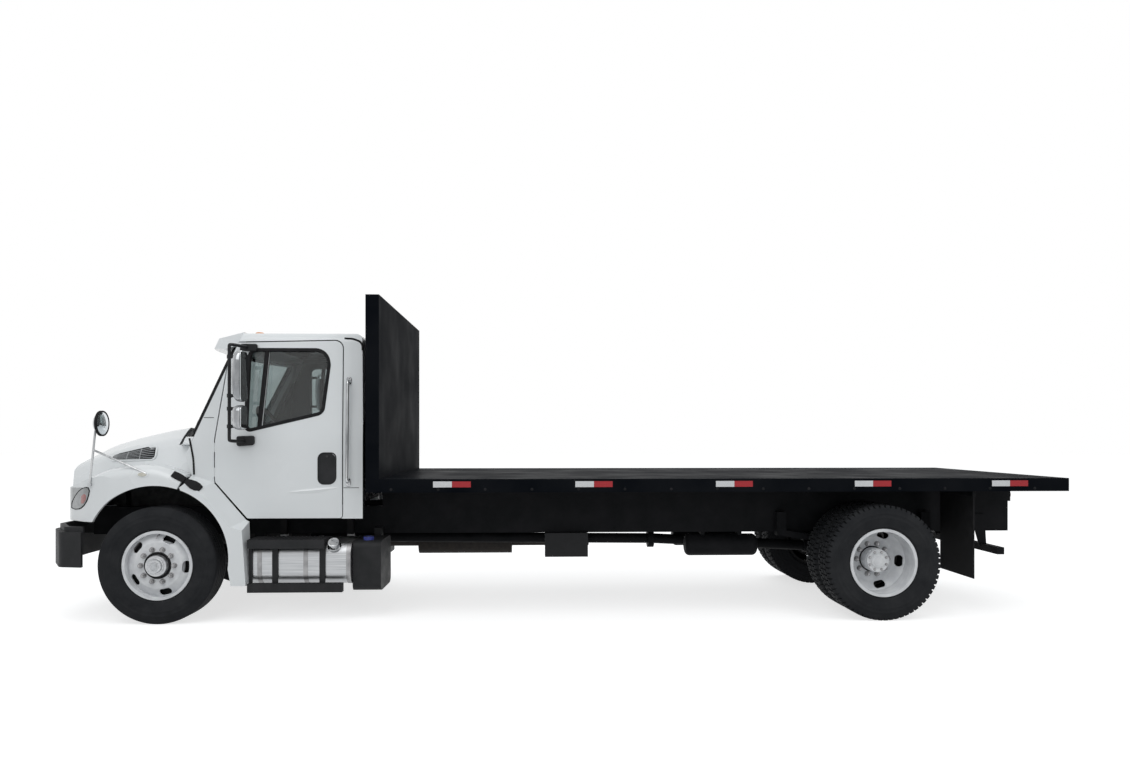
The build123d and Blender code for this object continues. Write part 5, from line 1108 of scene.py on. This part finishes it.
SEAT_SIDES = {"driver": (-820.0, -300.0), "bench": (-90.0, 820.0)}
SEAT_OUTLINES = {
    "cushion": [(974, 1303), (1424, 1303), (1418, 1414), (980, 1420)],
    "back": [(1432, 1420), (1532, 1424), (1620, 1994), (1520, 1998)],
}
for seat, (y_low, y_high) in SEAT_SIDES.items():
    for piece, outline in SEAT_OUTLINES.items():
        padded(f"{seat}_{piece}", outline, y_low + CUSHION_GAP, y_high - CUSHION_GAP)
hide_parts("seats")

# Dashboard: panel with its dials' rims and blank faces
GAUGE_X = 632.0
PANEL = rounded([(-800, 1500), (-330, 1500), (-360, 1672), (-770, 1672)], 36, 5)
make("gauge_panel", Shape(slab(PANEL, 0.0, 34.0, on_x(GAUGE_X), 6.0)), "trim", "truck")
# Dials: side, height, radius
DIALS = ((-690.0, 1590.0, 54.0), (-565.0, 1590.0, 54.0), (-455.0, 1622.0, 30.0), (-455.0, 1552.0, 30.0))
dials, faces = Shape(), Shape()
for y, z, r in DIALS:
    dials.add(lathe([(r - 5, 33), (r - 5, 39), (r + 2, 39), (r + 4, 33)], "X", (GAUGE_X, y, z), 40))
    faces.add(cap([(r - 4, 33.5), (r - 4, 35), (0, 35)], "X", (GAUGE_X, y, z), 40))
make("gauge_rims", dials, "steel", "truck")
make("gauge_faces", faces, "rubber", "truck")


# Stage, light and camera
def seen_rays(tree, share):
    """Share for the rays that see the backdrop from the camera, off metal or through glass, else nothing."""
    rays = add_node(tree, "LightPath", {}).outputs
    value = rays["Is Camera Ray"]
    for name in ("Is Glossy Ray", "Is Transmission Ray"):
        value = computed(tree, "MAXIMUM", value, rays[name])
    return computed(tree, "MULTIPLY", value, share)


def stage_floor():
    """Wide white floor that glows for the rays that see it."""
    reach = 60.0
    mesh = bpy.data.meshes.new("floor")
    corners = [(-reach, -reach, 0), (reach, -reach, 0), (reach, reach, 0), (-reach, reach, 0)]
    mesh.from_pydata(corners, [], [(0, 1, 2, 3)])
    material = bpy.data.materials.new("floor_white")
    material.use_nodes = True
    tree = material.node_tree
    paint = {"Base Color": (0.62, 0.62, 0.62, 1), "Roughness": 0.9, "Specular IOR Level": 0.0}
    shader = feed(tree, tree.nodes["Principled BSDF"], paint)
    glow = add_node(tree, "Emission", {"Strength": seen_rays(tree, 0.68)})
    total = add_node(tree, "AddShader", {0: shader.outputs["BSDF"], 1: glow.outputs["Emission"]})
    feed(tree, tree.nodes["Material Output"], {"Surface": total.outputs["Shader"]})
    mesh.materials.append(material)
    linked("floor", mesh)


def stage_sky():
    """Even light from all round, with a plain white backdrop for the rays that see it."""
    world = bpy.data.worlds.new("studio")
    bpy.context.scene.world = world
    world.use_nodes = True
    tree = world.node_tree
    plain = feed(tree, tree.nodes["Background"], {"Color": (0.95, 0.98, 1.0, 1), "Strength": 0.58})
    seen = add_node(tree, "Background", {"Color": (1, 1, 1, 1), "Strength": 1.0})
    pick = add_node(tree, "MixShader", {"Fac": seen_rays(tree, 1.0), 1: plain.outputs["Background"],
                                        2: seen.outputs["Background"]})
    feed(tree, tree.nodes["World Output"], {"Surface": pick.outputs["Shader"]})


def stage_lamps():
    """Soft lamps: place, aim, size, power."""
    for spot, aim, size, power in (
        ((-3.5, -7.0, 8.5), (-1.0, 0.0, 0.8), 7.0, 260.0),
        ((5.0, -6.0, 8.0), (2.0, 0.0, 0.8), 6.0, 160.0),
        ((0.0, 8.0, 9.0), (0.0, 0.0, 1.0), 8.0, 260.0),
    ):
        lamp = bpy.data.lights.new("softbox", "AREA")
        lamp.size = size
        lamp.energy = power
        holder = linked("softbox", lamp)
        holder.location = spot
        holder.rotation_euler = (Vector(aim) - Vector(spot)).to_track_quat("-Z", "Y").to_euler()


def stage_camera():
    """Camera fitted to the photograph."""
    camera = bpy.data.cameras.new("camera")
    camera.sensor_width = 36.0
    camera.lens = 26.19
    camera.shift_y = 0.0437
    camera.clip_end = 300.0
    holder = linked("camera", camera)
    holder.location = (-0.1965, -8.306, 1.616)
    holder.rotation_euler = (math.radians(90.0), 0.0, math.radians(-2.01))
    bpy.context.scene.camera = holder


bpy.context.scene.view_settings.view_transform = "Standard"
stage_floor()
stage_sky()
stage_lamps()
stage_camera()
